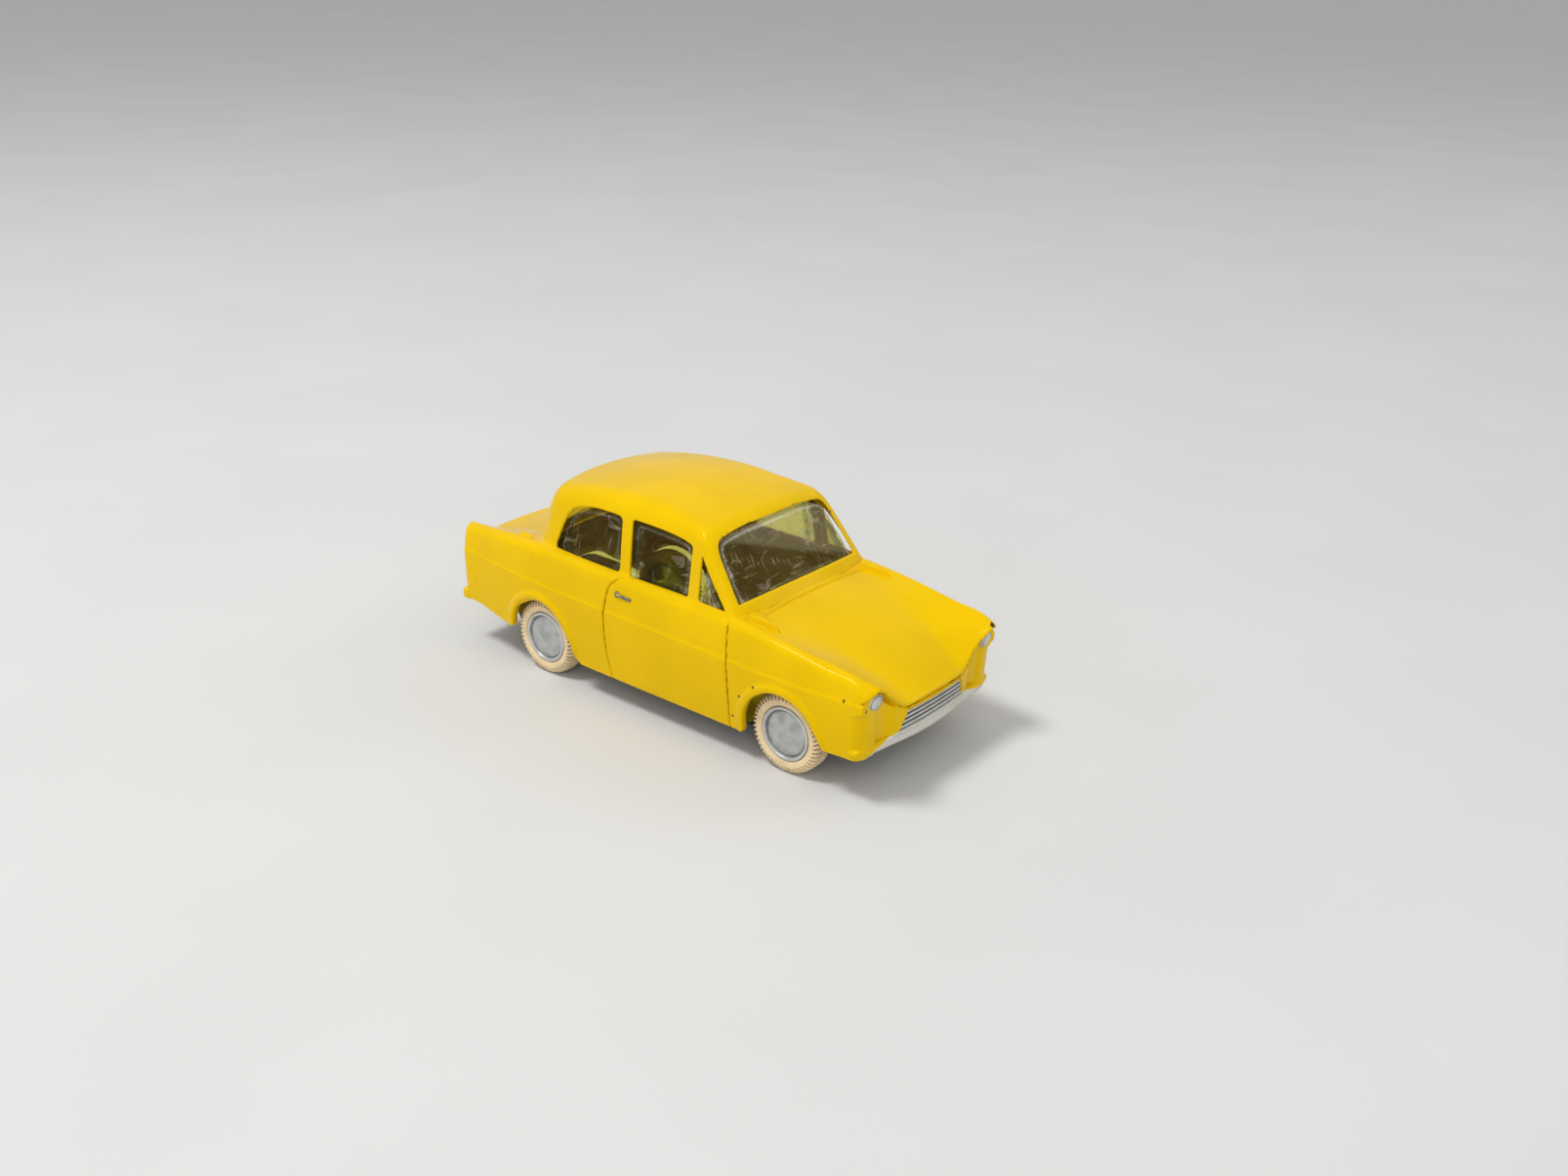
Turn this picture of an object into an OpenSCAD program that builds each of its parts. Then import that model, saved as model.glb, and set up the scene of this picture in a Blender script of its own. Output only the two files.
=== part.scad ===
// Small-scale die-cast saloon car with a pressed base, clear glazing and two rolling wheel sets.
// Millimetres. +X is the front of the car, +Y its left side, +Z up.
// The origin is on the ground under the middle of the car.

/* [Body] */
// Length of the casting over the two ends
body_l = 82.6; // [80.5:0.1:85]
// Width over the widest part of the sides
body_w = 33.2; // [32.6:0.1:34.6]
// Height of the roof above the ground
body_h = 32.9; // [32:0.1:34.4]
// Thickness of the casting's walls
wall = 1.2; // [1:0.05:1.4]
// Height of the sill edges above the ground
sill_z = 4.2; // [3.9:0.1:4.6]
// Height of the lower edge under the nose
nose_z = 6.5; // [6.2:0.1:7]
// Height of the lower edge under the tail
tail_z = 7.3; // [6.9:0.1:7.8]
// How far the waist crease stands out
crease = 0.25; // [0.1:0.05:0.4]
// How far the wheel arch lips stand out
arch_lip = 0.3; // [0.1:0.05:0.5]
// Radial room between a tyre and its wheel arch
arch_room = 0.6; // [0.5:0.05:0.9]

/* [Nose and tail] */
// Height of the bumper bars
bumper_h = 1.8; // [1.5:0.1:2.1]
// Depth of the bumper bars from front to back
bumper_t = 1.6; // [1.4:0.1:2]
// Half width of the grille at its lower edge
grille_low = 7.7; // [7:0.1:8.1]
// Half width of the grille at its upper edge
grille_top = 6.5; // [6:0.1:7]
// Height of the grille opening
grille_h = 2.9; // [2.4:0.1:3]
// Depth of the grille opening
grille_depth = 0.5; // [0.3:0.05:0.7]
// Width of a headlamp
lamp_w = 2.5; // [2:0.1:2.8]
// Height of a headlamp
lamp_h = 2.9; // [2.4:0.1:3.2]
// Length of a door handle
handle_l = 3.2; // [2.6:0.1:3.8]
// Thickness of a door handle
handle_d = 0.8; // [0.6:0.05:1]

/* [Windows] */
// Height of the lower edge of the side windows
window_z = 21.1; // [20.9:0.05:21.5]
// Height of the upper edge of the side windows
window_top = 29.3; // [28.4:0.1:29.6]
// Width of the door pillar
pillar_w = 2; // [1.6:0.1:2.6]
// Corner radius of the window openings
window_r = 0.6; // [0.3:0.05:0.8]
// Thickness of the clear glazing
glaze_t = 0.7; // [0.5:0.05:0.9]

/* [Wheels] */
// Distance between the axles of a casting of the drawn length
wheelbase = 47.8; // [47:0.1:48.6]
// Front axle position ahead of the middle of a casting of the drawn length
front_axle_x = 26.3; // [25.8:0.1:26.8]
// Diameter of the tyres
tyre_d = 12; // [11.4:0.1:12.4]
// Width of the tyres
tyre_w = 3.6; // [3.2:0.1:3.8]
// Diameter of the wheel hubs
hub_d = 8.1; // [7.6:0.1:8.6]
// Width between the outer faces of the hubs under a casting of the drawn width
track_w = 30.2; // [29.8:0.1:30.6]
// Depth of the groove in a hub that holds its tyre
hub_groove = 0.7; // [0.4:0.05:0.9]
// Diameter of the axles
axle_d = 1.6; // [1.4:0.1:1.8]

/* [Base] */
// Thickness of the base plate
base_t = 0.6; // [0.5:0.05:0.8]
// Height of the flat underside of the base above the ground
base_z = 4.3; // [4:0.1:4.4]
// Distance between the outer faces of the axle ears
ear_span = 19; // [17:0.2:19.6]
// Thickness of an axle ear
ear_t = 0.8; // [0.6:0.05:1]
// Width of an axle ear
ear_w = 4; // [3.4:0.1:5]
// Diameter of the posts that the base is riveted to
post_d = 4.4; // [4:0.1:5]
// Diameter of the rivet shanks
rivet_d = 2; // [1.6:0.1:2.2]
// Length of a rivet inside its post
rivet_l = 3; // [2:0.1:4]
// Diameter of the rivet heads
rivet_head_d = 3; // [2.8:0.1:3.4]
// Height of the rivet heads
rivet_head_h = 0.7; // [0.5:0.05:0.9]

/* [Clearances] */
// Radial running clearance of an axle in its ears
axle_gap = 0.05; // [0.03:0.01:0.09]
// Radial clearance of an axle in its hubs
hub_gap = 0.01; // [0.01:0.01:0.03]
// Clearance between a tyre and the groove it sits in
tyre_gap = 0.02; // [0.01:0.01:0.05]
// Clearance between the glazing and the inside of the casting
glaze_gap = 0.1; // [0.04:0.01:0.15]
// Clearance between the base and the casting
base_gap = 0.3; // [0.15:0.05:0.4]
// Radial clearance of a rivet in its hole
rivet_gap = 0.04; // [0.02:0.01:0.08]
// End play of a wheel set on each side
side_play = 0.25; // [0.15:0.05:0.4]

/* [Hidden] */
$fn = 64;

yellow = [0.93, 0.72, 0.02];
clear = [0.85, 0.87, 0.82, 0.4];
blackened = [0.08, 0.08, 0.08];
bright = [0.72, 0.72, 0.72];
cream = [0.90, 0.82, 0.66];

// The body's master curves are drawn for a casting of this size and stretched to the set size.
draw_l = 82.6;
draw_w = 33.2;
draw_h = 32.9;
kx = body_l/draw_l;
ky = body_w/draw_w;
kz = body_h/draw_h;

// Wheel places: a longer or wider casting keeps its overhangs and the depth of its arches
wheel_z = tyre_d/2;
front_wheel_x = front_axle_x + (body_l - draw_l)/2;
rear_wheel_x = front_axle_x - wheelbase - (body_l - draw_l)/2;
track = track_w + body_w - draw_w;
arch_r = tyre_d/2 + arch_room;
arch_flare = 0.5;

// Half width at the waist, along the car
plan_pts = [[-42, 13.6], [-40, 14.85], [-36, 15.3], [-30, 15.85], [-20, 16.3], [-5, 16.55],
            [10, 16.6], [30, 16.6], [36, 16.35], [40, 16.2], [42, 15.8]];
// Height of the waist crease
waist_pts = [[-42, 16.2], [-20, 15.5], [0, 15.25], [16, 15], [30, 14.9], [42, 15.2]];
// Height of the fender tops and fins
crest_pts = [[-42, 19.8], [-38, 20.1], [-30, 20.75], [-20, 21.1], [0, 21.1], [12, 20.9],
             [18, 20.6], [27, 19.6], [34, 18.7], [38, 18.2], [42, 17.1]];
// Half width at which the fender tops fold over to the sides
fold_pts = [[-42, 12.7], [-38, 13.1], [-30, 13.6], [-20, 14.3], [0, 14.6], [17, 14.9], [28, 14.9],
            [34, 14.5], [39, 14.4], [42, 13.3]];
// Height of the bonnet and boot along the middle
deck_pts = [[-42, 17.7], [-40, 17.85], [-34, 19], [-28, 20.25], [-24, 20.95], [-10, 21.2],
            [10, 21.2], [18, 21.05], [24, 19.95], [30, 18.1], [35, 16.05], [38, 14.4],
            [40, 13], [42, 11.45]];
// Front edge of the bonnet and of the fender tips, over the half width
nose_pts = [[0, 41.05], [5, 40.9], [8.4, 40.6], [11, 40.5], [13.3, 41.35], [15, 40.8], [17, 39.8]];
// Face below that edge, over the half width: grille, sunk corner panels and rounded corners
face_pts = [[0, 40.6], [4, 40.5], [7.6, 40.25], [8.8, 40.05], [9.8, 39.55], [12, 39.35], [13, 39.6],
            [14.2, 39.65], [15.2, 39.25], [16, 38.5], [17, 37.1]];
// Height of the roof along the middle
roof_pts = [[-30, 28.3], [-25, 30], [-20, 31.1], [-14, 32.15], [-8, 32.75], [-2, 32.9],
            [4, 32.45], [9, 31.7], [14, 30.75], [20, 28.7]];

// Slope of a curve through points at point i
function chord(p, i) = (p[i + 1][1] - p[i][1])/(p[i + 1][0] - p[i][0]);
function slope(p, i) =
    i == 0 ? chord(p, 0) :
    i == len(p) - 1 ? chord(p, i - 1) :
    let (a = p[i][0] - p[i - 1][0], b = p[i + 1][0] - p[i][0])
    (chord(p, i - 1)*b + chord(p, i)*a)/(a + b);
// Smooth curve through points, as a table for lookup()
function smooth(p, n = 8) = concat(
    [for (i = [0 : len(p) - 2]) for (j = [0 : n - 1])
        let (t = j/n, w = p[i + 1][0] - p[i][0])
        [p[i][0] + t*w,
         (2*t^3 - 3*t^2 + 1)*p[i][1] + (t^3 - 2*t^2 + t)*w*slope(p, i)
         + (3*t^2 - 2*t^3)*p[i + 1][1] + (t^3 - t^2)*w*slope(p, i + 1)]],
    [p[len(p) - 1]]);
plan_c = smooth(plan_pts);
waist_c = smooth(waist_pts);
crest_c = smooth(crest_pts);
fold_c = smooth(fold_pts);
deck_c = smooth(deck_pts);
roof_c = smooth(roof_pts);
nose_c = smooth(nose_pts, 4);
face_c = smooth(face_pts, 4);

function clamp(t) = min(max(t, 0), 1);
function ease(t) = let (c = clamp(t)) c*c*(3 - 2*c);
// Largest of two fields, with the edge between them rounded over k
function blend(a, b, k) = let (h = clamp(0.5 + 0.5*(a - b)/k)) b + (a - b)*h + k*h*(1 - h);

// Shape constants of the drawn casting
belt = 20.8;
side_tuck = 0.75;
cabin_y = 14.6;
edge_r = 1;
end_r = 1.2;
dish_y = 7.3;
dish_nose = 1.6;
fold_drop = 0.45;
lip_x = 40.6;
lip_t = 0.5;
lip_soft = 0.6;
face_lean = 0.12;
corner_lean = 0.06;
face_mid_z = 8.7;
pod_x = 40.05;
pod_z = 12.4;

// Wheel arch lips, in drawn coordinates
function lip_at(x, z, ax) =
    let (d = norm([(x - ax/kx)*kx, z*kz - wheel_z])) ease((arch_r + 1.7 - d)/1.3);
function lips(x, z) = arch_lip*max(lip_at(x, z, front_wheel_x), lip_at(x, z, rear_wheel_x));

function side_y(x, z) =
    let (zw = lookup(x, waist_c), zc = lookup(x, crest_c),
         low = min(max((zw - z)/(zw - 4.2), 0), 1.2),
         up = min(max((z - zw)/(zc - zw), 0), 1.5))
    lookup(x, plan_c) - crease*ease((zw - z)/1.2 + 0.5) - side_tuck*(low*low + up^1.6) + lips(x, z);

function deck_z(x, a) =
    let (zm = lookup(x, deck_c) - 0.004*a*a,
         edge = lookup(x, fold_c),
         dish = dish_y - dish_nose*ease((x - 33)/7),
         t = clamp((a - dish)/(edge - dish)))
    zm + (lookup(x, crest_c) - zm)*(ease(t) + t^1.7)/2 - fold_drop*max(a - edge, 0);

// Face of the nose, whose corners stand full at the height of the headlamps
function face_x(a, z) =
    let (lean = face_lean + (corner_lean - face_lean)*ease((a - 9)/4),
         flat = lookup(a, face_c) + lean*(z - face_mid_z),
         pod = ease((a - 12.2)/1.4)*ease((z - pod_z - 0.25*(a - 14))/1.2))
    flat + max(pod_x - flat, 0)*pod;
function front_x(a, z) =
    let (face = face_x(a, z))
    face + (lookup(a, nose_c) - face)*ease((z - deck_z(lip_x, a) + lip_t)/lip_soft + 0.5);
function rear_x(a) = -40.85 + 0.002*a*a;

function lower_f(x, a, z) =
    blend(blend(blend(a - side_y(x, z), z - deck_z(x, a), edge_r),
                x - front_x(a, z), end_r),
          rear_x(a) - x, end_r);

function screen_x(a, h) = 18.7 - 0.75*h - 0.006*a*a;
function rear_screen_x(a, h) = -26.7 + 0.2*h + 0.0062*h*h + 0.0158*a*a;
function cabin_f(x, a, z) =
    let (h = z - belt,
         ahead = max(x - 2, 0),
         behind = max(-6 - x, 0),
         cy = cabin_y - 0.155*h - 0.003*h*h - 0.0014*ahead*ahead - 0.0032*behind*behind)
    blend(blend(blend((a - cy)*0.97, (z - lookup(x, roof_c) + 0.006*a*a)*0.98, 2.4),
                (x - screen_x(a, h))*0.8, 2),
          (rear_screen_x(a, h) - x)*0.87, 2.4);

// Radius along a ray in the cross-section at which a field plus an inset reaches zero
function ray(kind, u, cz, ca, sa, inset, r0, r1, n) =
    n == 0 ? (r0 + r1)/2 :
    let (r = (r0 + r1)/2, a = r*ca, z = cz + r*sa)
    field(kind, u, a, z) + inset > 0 ? ray(kind, u, cz, ca, sa, inset, r0, r, n - 1)
                                     : ray(kind, u, cz, ca, sa, inset, r, r1, n - 1);
function field(kind, u, a, z) =
    kind == "lower" ? lower_f(along(kind, u, a, z), a, z) : cabin_f(along(kind, u, a, z), a, z);
// Station u runs from the rear face to the front face of the shape
function along(kind, u, a, z) =
    kind == "lower" ? rear_x(a) + u*(front_x(a, z) - rear_x(a))
    : let (h = z - belt) rear_screen_x(a, h) + u*(screen_x(a, h) - rear_screen_x(a, h));

// One cross-section as [a, z] pairs from the lower edge to the top
function half_section(kind, u, inset, low, cz, angles) = concat(
    [[ray(kind, u, low, 1, 0, inset, 0, 20, 14), low]],
    [for (g = angles) let (r = ray(kind, u, cz, cos(g), sin(g), inset, 0, 26, 14))
        [r*cos(g), cz + r*sin(g)]]);
function ring(kind, u, s) = concat(
    [for (p = s) [along(kind, u, p[0], p[1]), -p[0], p[1]]],
    [for (i = [len(s) - 2 : -1 : 0]) [along(kind, u, s[i][0], s[i][1]), s[i][0], s[i][1]]]);
// Rings that close an end, shrunk towards the middle of the face
function cap_ring(kind, u, s, t, low) = ring(kind, u, [for (p = s) [p[0]*t, low + (p[1] - low)*t]]);

// Closed solid through cross-sections at the stations us, with filled ends
module loft(kind, us, inset, low, cz, angles, caps) {
    sections = [for (u = us) half_section(kind, u, inset, low, cz, angles)];
    last = len(us) - 1;
    m = 2*len(sections[0]) - 1;
    rear = [for (i = [len(caps) - 1 : -1 : 0]) cap_ring(kind, us[0], sections[0], caps[i], low)];
    side = [for (j = [0 : last]) ring(kind, us[j], sections[j])];
    front = [for (t = caps) cap_ring(kind, us[last], sections[last], t, low)];
    rings = concat(rear, side, front);
    k = len(rings);
    points = [for (r = rings) for (p = r) [p[0]*kx, p[1]*ky, p[2]*kz]];
    polyhedron(
        points = points,
        faces = concat(
            [for (j = [0 : k - 2]) for (i = [0 : m - 1])
                let (n = (i + 1)%m) each [[j*m + i, j*m + n, (j + 1)*m + i],
                                          [j*m + n, (j + 1)*m + n, (j + 1)*m + i]]],
            [[for (i = [m - 1 : -1 : 0]) i]],
            [[for (i = [0 : m - 1]) (k - 1)*m + i]]));
}

// Stations: close together at the rounded ends, even between
function stations(ends, n, l) = concat(
    [for (d = ends) d/l],
    [for (i = [1 : n]) let (a = ends[len(ends) - 1]/l) a + (1 - 2*a)*i/(n + 1)],
    [for (i = [len(ends) - 1 : -1 : 0]) 1 - ends[i]/l]);
function spread(a, b, n) = [for (i = [0 : n]) a + (b - a)*i/n];

// Lower ends of the lofts, height that the rays start from and length that the cabin's ends are given on
low_cut = 3;
ray_z = 9.4;
cabin_low = 20;
cabin_l = 44;
end_wall = wall + 0.5;
shell_angles = concat(spread(-20, 26, 11), spread(29.5, 44, 5), spread(50, 90, 6));
hollow_angles = concat(spread(-20, 30, 6), spread(37, 90, 7));
cabin_angles = concat(spread(0, 28, 3), spread(33, 57, 5), spread(63, 90, 4));

// Solid of the lower body, set in from its outside
module lower_body(inset, low, ends, n, angles, caps) {
    loft("lower", stations(ends, n, draw_l), inset, low, ray_z, angles, caps);
}
// Solid of the cabin, set in from its outside
module cabin(inset, low, n) {
    e = 1.25*inset;
    loft("cabin", stations([e + 0.02, e + 0.4, e + 1, e + 2], n, cabin_l), inset, low,
         cabin_low + 1, cabin_angles, [0.75, 0.5, 0.25]);
}
module outside() {
    lower_body(0, low_cut, [0.02, 0.25, 0.6, 1.1, 1.9, 3], 19, shell_angles, [0.8, 0.45]);
    cabin(0, cabin_low, 13);
}
module hollow() {
    lower_body(wall, low_cut - 1, [end_wall, end_wall + 0.6, end_wall + 1.5], 13, hollow_angles, [0.5]);
    cabin(wall, cabin_low - wall - 1, 10);
}

// Turns a shape drawn in X and Z, extruded from y1 to y2
module across(y1, y2) {
    translate([0, y2, 0]) rotate([90, 0, 0]) linear_extrude(y2 - y1) children();
}
// Turns a shape drawn in Y and Z, extruded from x1 to x2
module lengthways(x1, x2) {
    translate([x1, 0, 0]) rotate([90, 0, 90]) linear_extrude(x2 - x1) children();
}
module rounded(r, n = 12) {
    offset(r = r, $fn = n) offset(delta = -r) children();
}

// Everything below the lower edges of the casting
module underside() {
    across(-body_w, body_w) polygon([
        [-body_l, -1], [-body_l, tail_z], [-37.4*kx, tail_z], [-36*kx, tail_z - 0.2], [-30*kx, 6],
        [rear_wheel_x, 6], [rear_wheel_x + arch_r, sill_z + 1.2], [rear_wheel_x + arch_r + 2, sill_z],
        [front_wheel_x, sill_z], [front_wheel_x + arch_r, sill_z + 2],
        [front_wheel_x + arch_r + 2, nose_z - 0.1], [38*kx, nose_z], [body_l, nose_z], [body_l, -1]]);
}

module arch(ax) {
    across(-body_w, body_w) union() {
        translate([ax, wheel_z]) circle(r = arch_r);
        translate([ax - arch_r, 0]) square([2*arch_r, wheel_z]);
        polygon([[ax + arch_r*cos(30), wheel_z + arch_r*sin(30)], [ax + arch_r + arch_flare, wheel_z + 1],
                 [ax + arch_r + 1.6, 0], [ax, 0]]);
    }
}

// Side window outlines, in drawn coordinates
quarter_front = -5.8;
door_rear = quarter_front + pillar_w;
module side_windows() {
    hb = window_z/kz;
    ht = window_top/kz;
    scale([kx, ky, kz]) across(-20, 20) {
        rounded(window_r) polygon([[-19.7, hb + 0.3], [-19, hb + 2.7], [-17.4, ht - 2.5],
            [-15.4, ht - 0.8], [-11.5, ht], [quarter_front, ht], [quarter_front, hb + 0.2]]);
        rounded(window_r) polygon([[door_rear - 0.2, ht], [door_rear + 0.3, hb - 0.1], [7.5, hb - 0.1],
            [7.7, ht - 1], [4, ht - 0.4]]);
        rounded(window_r/2) polygon([[9.3, ht - 2], [9.5, hb - 0.1], [14.5, hb - 0.2]]);
    }
}
module screens() {
    hb = window_z/kz;
    ht = window_top/kz;
    scale([kx, ky, kz]) {
        lengthways(6, 26) rounded(1.2) polygon([[-12.9, hb + 0.9], [-11.6, ht - 0.3], [-6, ht + 0.2],
            [6, ht + 0.2], [11.6, ht - 0.3], [12.9, hb + 0.9], [6, hb + 1.1], [-6, hb + 1.1]]);
        lengthways(-34, -17) rounded(1.6) polygon([[-10.6, hb + 1], [-9.8, ht - 1], [-5, ht - 0.5],
            [5, ht - 0.5], [9.8, ht - 1], [10.6, hb + 1]]);
    }
}

// How far the bumpers stand out of the ends, and how much thicker their ends are
nose_bumper_out = 0.2;
tail_bumper_out = 0.43;
bumper_bulge = 0.03;
// Bow radius and half width of the front and rear bumpers
nose_bow_r = 110;
nose_bumper_y = 15.4;
tail_bow_r = 230;
tail_bumper_y = 14.3;
// A bumper bar bowed to radius r, with rounded ends, that reaches to half width w
module bumper(r, w) {
    g = asin(w/r);
    translate([-r, 0, 0]) rotate([0, 0, -g]) rotate_extrude(angle = 2*g, $fn = 150)
        translate([r - bumper_t, 0]) rounded(0.6, 8) square([bumper_t, bumper_h]);
    for (s = [-1, 1]) hull() for (z = [bumper_t/3, bumper_h - bumper_t/3 + bumper_bulge])
        translate([r*cos(g) - r - bumper_t/2, s*w, z]) sphere(r = bumper_t/2 + bumper_bulge, $fn = 10);
}

grille_z = nose_z + bumper_h + 0.1;
module grille_shape() {
    translate([0, grille_z]) rounded(0.4) polygon([[-grille_low, 0], [grille_low, 0],
        [grille_top, grille_h], [-grille_top, grille_h]]);
}
grille_face = front_x(grille_top, grille_z)*kx;
module grille_cut() {
    lengthways(grille_face - grille_depth, grille_face + 2) grille_shape();
}
handle_x = -5;
handle_z = 18.5;
lamp_x = 39.7;
lamp_y = 13.6;
lamp_z = 14.85;
module lamp() {
    translate([lamp_x*kx, lamp_y*ky, lamp_z*kz])
        scale([0.9, lamp_w/2, lamp_h/2]) hull() {
            sphere(r = 1, $fn = 12);
            translate([-0.6, 0, 0]) sphere(r = 1, $fn = 8);
        }
}
// Fender tip that stands out over a headlamp, in drawn coordinates
hood_r = 0.45;
hood_pts = [[40.75, 13.2, 16.9], [40.1, 14.8, 16.6], [37.5, 13.6, 17.6], [37.5, 15.3, 17]];
module hood() {
    hull() for (p = hood_pts) translate([p[0]*kx, p[1]*ky, p[2]*kz]) sphere(r = hood_r, $fn = 10);
}
// Door handle: a short bar that stands a little off the door
module handle() {
    y = side_y(handle_x, handle_z)*ky;
    hull() for (x = [0, handle_l])
        translate([handle_x*kx + x, y, handle_z*kz]) scale([1, 0.8, 0.8]) sphere(d = handle_d, $fn = 10);
}

// Posts under the bonnet and the boot, left standing where the casting is hollow
rear_post_gap = 3.1;
front_post_x = front_wheel_x + arch_r + arch_flare + post_d/2;
rear_post_x = rear_wheel_x - arch_r - rear_post_gap - post_d/2;
front_land = nose_z + 0.1;
rear_land = tail_z - 0.2;
module posts(d, z1, z2) {
    for (p = [[front_post_x, front_land], [rear_post_x, rear_land]])
        translate([p[0], 0, p[1] + base_t + z1]) cylinder(d = d, h = z2 - z1, $fn = 32);
}

module body_shell() {
    color(yellow) difference() {
        union() {
            outside();
            translate([front_x(0, nose_z)*kx + nose_bumper_out, 0, nose_z - 0.1])
                bumper(nose_bow_r, nose_bumper_y*ky);
            translate([rear_x(0)*kx - tail_bumper_out, 0, tail_z - 0.1]) mirror([1, 0, 0])
                bumper(tail_bow_r, tail_bumper_y*ky);
            for (s = [0, 1]) mirror([0, s, 0]) {
                lamp();
                hood();
                handle();
            }
        }
        difference() {
            hollow();
            posts(post_d, 0, body_h);
        }
        posts(post_d + 1, -body_h, 0);
        posts(rivet_d + 2*rivet_gap, -1, rivet_l + 0.4);
        underside();
        arch(front_wheel_x);
        arch(rear_wheel_x);
        side_windows();
        screens();
        grille_cut();
    }
}

module window_glazing() {
    out = wall + glaze_gap;
    color(clear) difference() {
        cabin(out, cabin_low + glaze_t, 10);
        cabin(out + glaze_t, cabin_low - 1, 10);
    }
}

// Half width of the base between the wheels, beside them and at the ends
base_mid = body_w/2 - crease - side_tuck - wall - base_gap - 0.3;
base_waist = ear_span/2;
base_front = 12.6*ky;
base_rear = 11.8*ky;
base_nose = front_x(base_front, front_land)*kx - end_wall*kx - base_gap;
base_tail = rear_x(base_rear)*kx + end_wall*kx + base_gap;
wheel_room = tyre_d/2 + 1.2;
base_slope = 1.8;
module base_outline() {
    r = rear_wheel_x;
    f = front_wheel_x;
    half = [[base_nose, base_front - 1.5], [base_nose - 1.5, base_front], [f + wheel_room, base_front],
            [f + wheel_room, base_waist], [f - wheel_room, base_waist], [f - wheel_room, base_mid],
            [r + wheel_room, base_mid], [r + wheel_room, base_waist], [r - wheel_room, base_waist],
            [r - wheel_room, base_rear], [base_tail + 1, base_rear], [base_tail, base_rear - 1]];
    polygon(concat(half, [for (i = [len(half) - 1 : -1 : 0]) [half[i][0], -half[i][1]]]));
}
module base_profile() {
    f = front_post_x - rivet_head_d/2 - base_gap;
    r = rear_post_x + rivet_head_d/2 + base_gap;
    edge = [[-body_l/2, rear_land], [r, rear_land], [r + base_slope, base_z], [f - base_slope, base_z],
            [f, front_land], [body_l/2, front_land]];
    polygon(concat(edge, [for (i = [len(edge) - 1 : -1 : 0]) [edge[i][0], edge[i][1] + base_t]]));
}
module ear(ax, s) {
    y = s > 0 ? ear_span/2 - ear_t : -ear_span/2;
    translate([ax - ear_w/2, y, base_z + base_t/2]) cube([ear_w, ear_t, wheel_z - base_z - base_t/2]);
    translate([ax, y + ear_t, wheel_z]) rotate([90, 0, 0]) cylinder(d = ear_w, h = ear_t);
}
module baseplate() {
    color(blackened) difference() {
        union() {
            intersection() {
                across(-body_w/2, body_w/2) base_profile();
                linear_extrude(body_h/2) base_outline();
            }
            for (ax = [front_wheel_x, rear_wheel_x]) for (s = [-1, 1]) ear(ax, s);
        }
        for (ax = [front_wheel_x, rear_wheel_x]) translate([ax, ear_span, wheel_z])
            rotate([90, 0, 0]) cylinder(d = axle_d + 2*axle_gap, h = 2*ear_span);
        for (x = [front_post_x, rear_post_x])
            translate([x, 0, 0]) cylinder(d = rivet_d + 2*rivet_gap, h = body_h/2);
    }
}

module rivet(x, land) {
    translate([x, 0, land]) {
        cylinder(d = rivet_d, h = base_t + rivet_l);
        translate([0, 0, -rivet_head_h]) rotate_extrude() polygon([[0, 0], [rivet_head_d/2 - 0.5, 0],
            [rivet_head_d/2, 0.4], [rivet_head_d/2, rivet_head_h], [0, rivet_head_h]]);
    }
}
module front_rivet() {
    color(bright) rivet(front_post_x, front_land);
}
module rear_rivet() {
    color(bright) rivet(rear_post_x, rear_land);
}

// Wheels: profiles run from the axle outwards and from the outer face inwards
hub_blind = 1.2;
axle_l = track - 2*hub_blind;
module axle(ax) {
    color(bright) translate([ax, axle_l/2, wheel_z]) rotate([90, 0, 0]) cylinder(d = axle_d, h = axle_l);
}
module front_axle() {
    axle(front_wheel_x);
}
module rear_axle() {
    axle(rear_wheel_x);
}

// Puts a wheel piece drawn round Z, with its outer face at zero and its depth upwards, on an axle
module at_wheel(ax, s) {
    translate([ax, s*track/2, wheel_z]) rotate([s*90, 0, 0]) children();
}
flange_t = 0.7;
tyre_out = 0.1;
groove_w = tyre_w - 2*flange_t - tyre_out;
hub_in = flange_t + groove_w + 0.5;
boss_end = (track - ear_span)/2 - side_play;
boss_r = axle_d/2 + 0.8;
module hub(ax, s) {
    r = hub_d/2;
    bore = axle_d/2 + hub_gap;
    color(bright) at_wheel(ax, s) rotate_extrude() polygon([
        [0, 0.1], [r - 1.2, 0.3], [r - 0.85, 0.3], [r - 0.6, 0], [r - 0.2, 0], [r, 0.2],
        [r, flange_t], [r - hub_groove, flange_t], [r - hub_groove, flange_t + groove_w],
        [r - 0.1, flange_t + groove_w], [r - 0.1, hub_in], [boss_r, hub_in], [boss_r, boss_end],
        [bore, boss_end], [bore, hub_blind], [0, hub_blind]]);
}
module tyre(ax, s) {
    r = tyre_d/2;
    seat = hub_d/2 - hub_groove + tyre_gap;
    lip = hub_d/2 + tyre_gap;
    color(cream) at_wheel(ax, s) rotate_extrude() polygon([
        [lip, 0.15], [lip + 0.25, -0.05], [r - 1, -tyre_out], [r - 0.45, 0.1], [r - 0.1, 0.55], [r, 1.1],
        [r, tyre_w - 1.2], [r - 0.1, tyre_w - 0.65], [r - 0.45, tyre_w - 0.2], [r - 1, tyre_w - tyre_out],
        [lip, tyre_w - 0.2], [lip, flange_t + groove_w - tyre_gap],
        [seat, flange_t + groove_w - tyre_gap], [seat, flange_t + tyre_gap], [lip, flange_t + tyre_gap]]);
}
module hub_front_left() {
    hub(front_wheel_x, 1);
}
module hub_front_right() {
    hub(front_wheel_x, -1);
}
module hub_rear_left() {
    hub(rear_wheel_x, 1);
}
module hub_rear_right() {
    hub(rear_wheel_x, -1);
}
module tyre_front_left() {
    tyre(front_wheel_x, 1);
}
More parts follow.
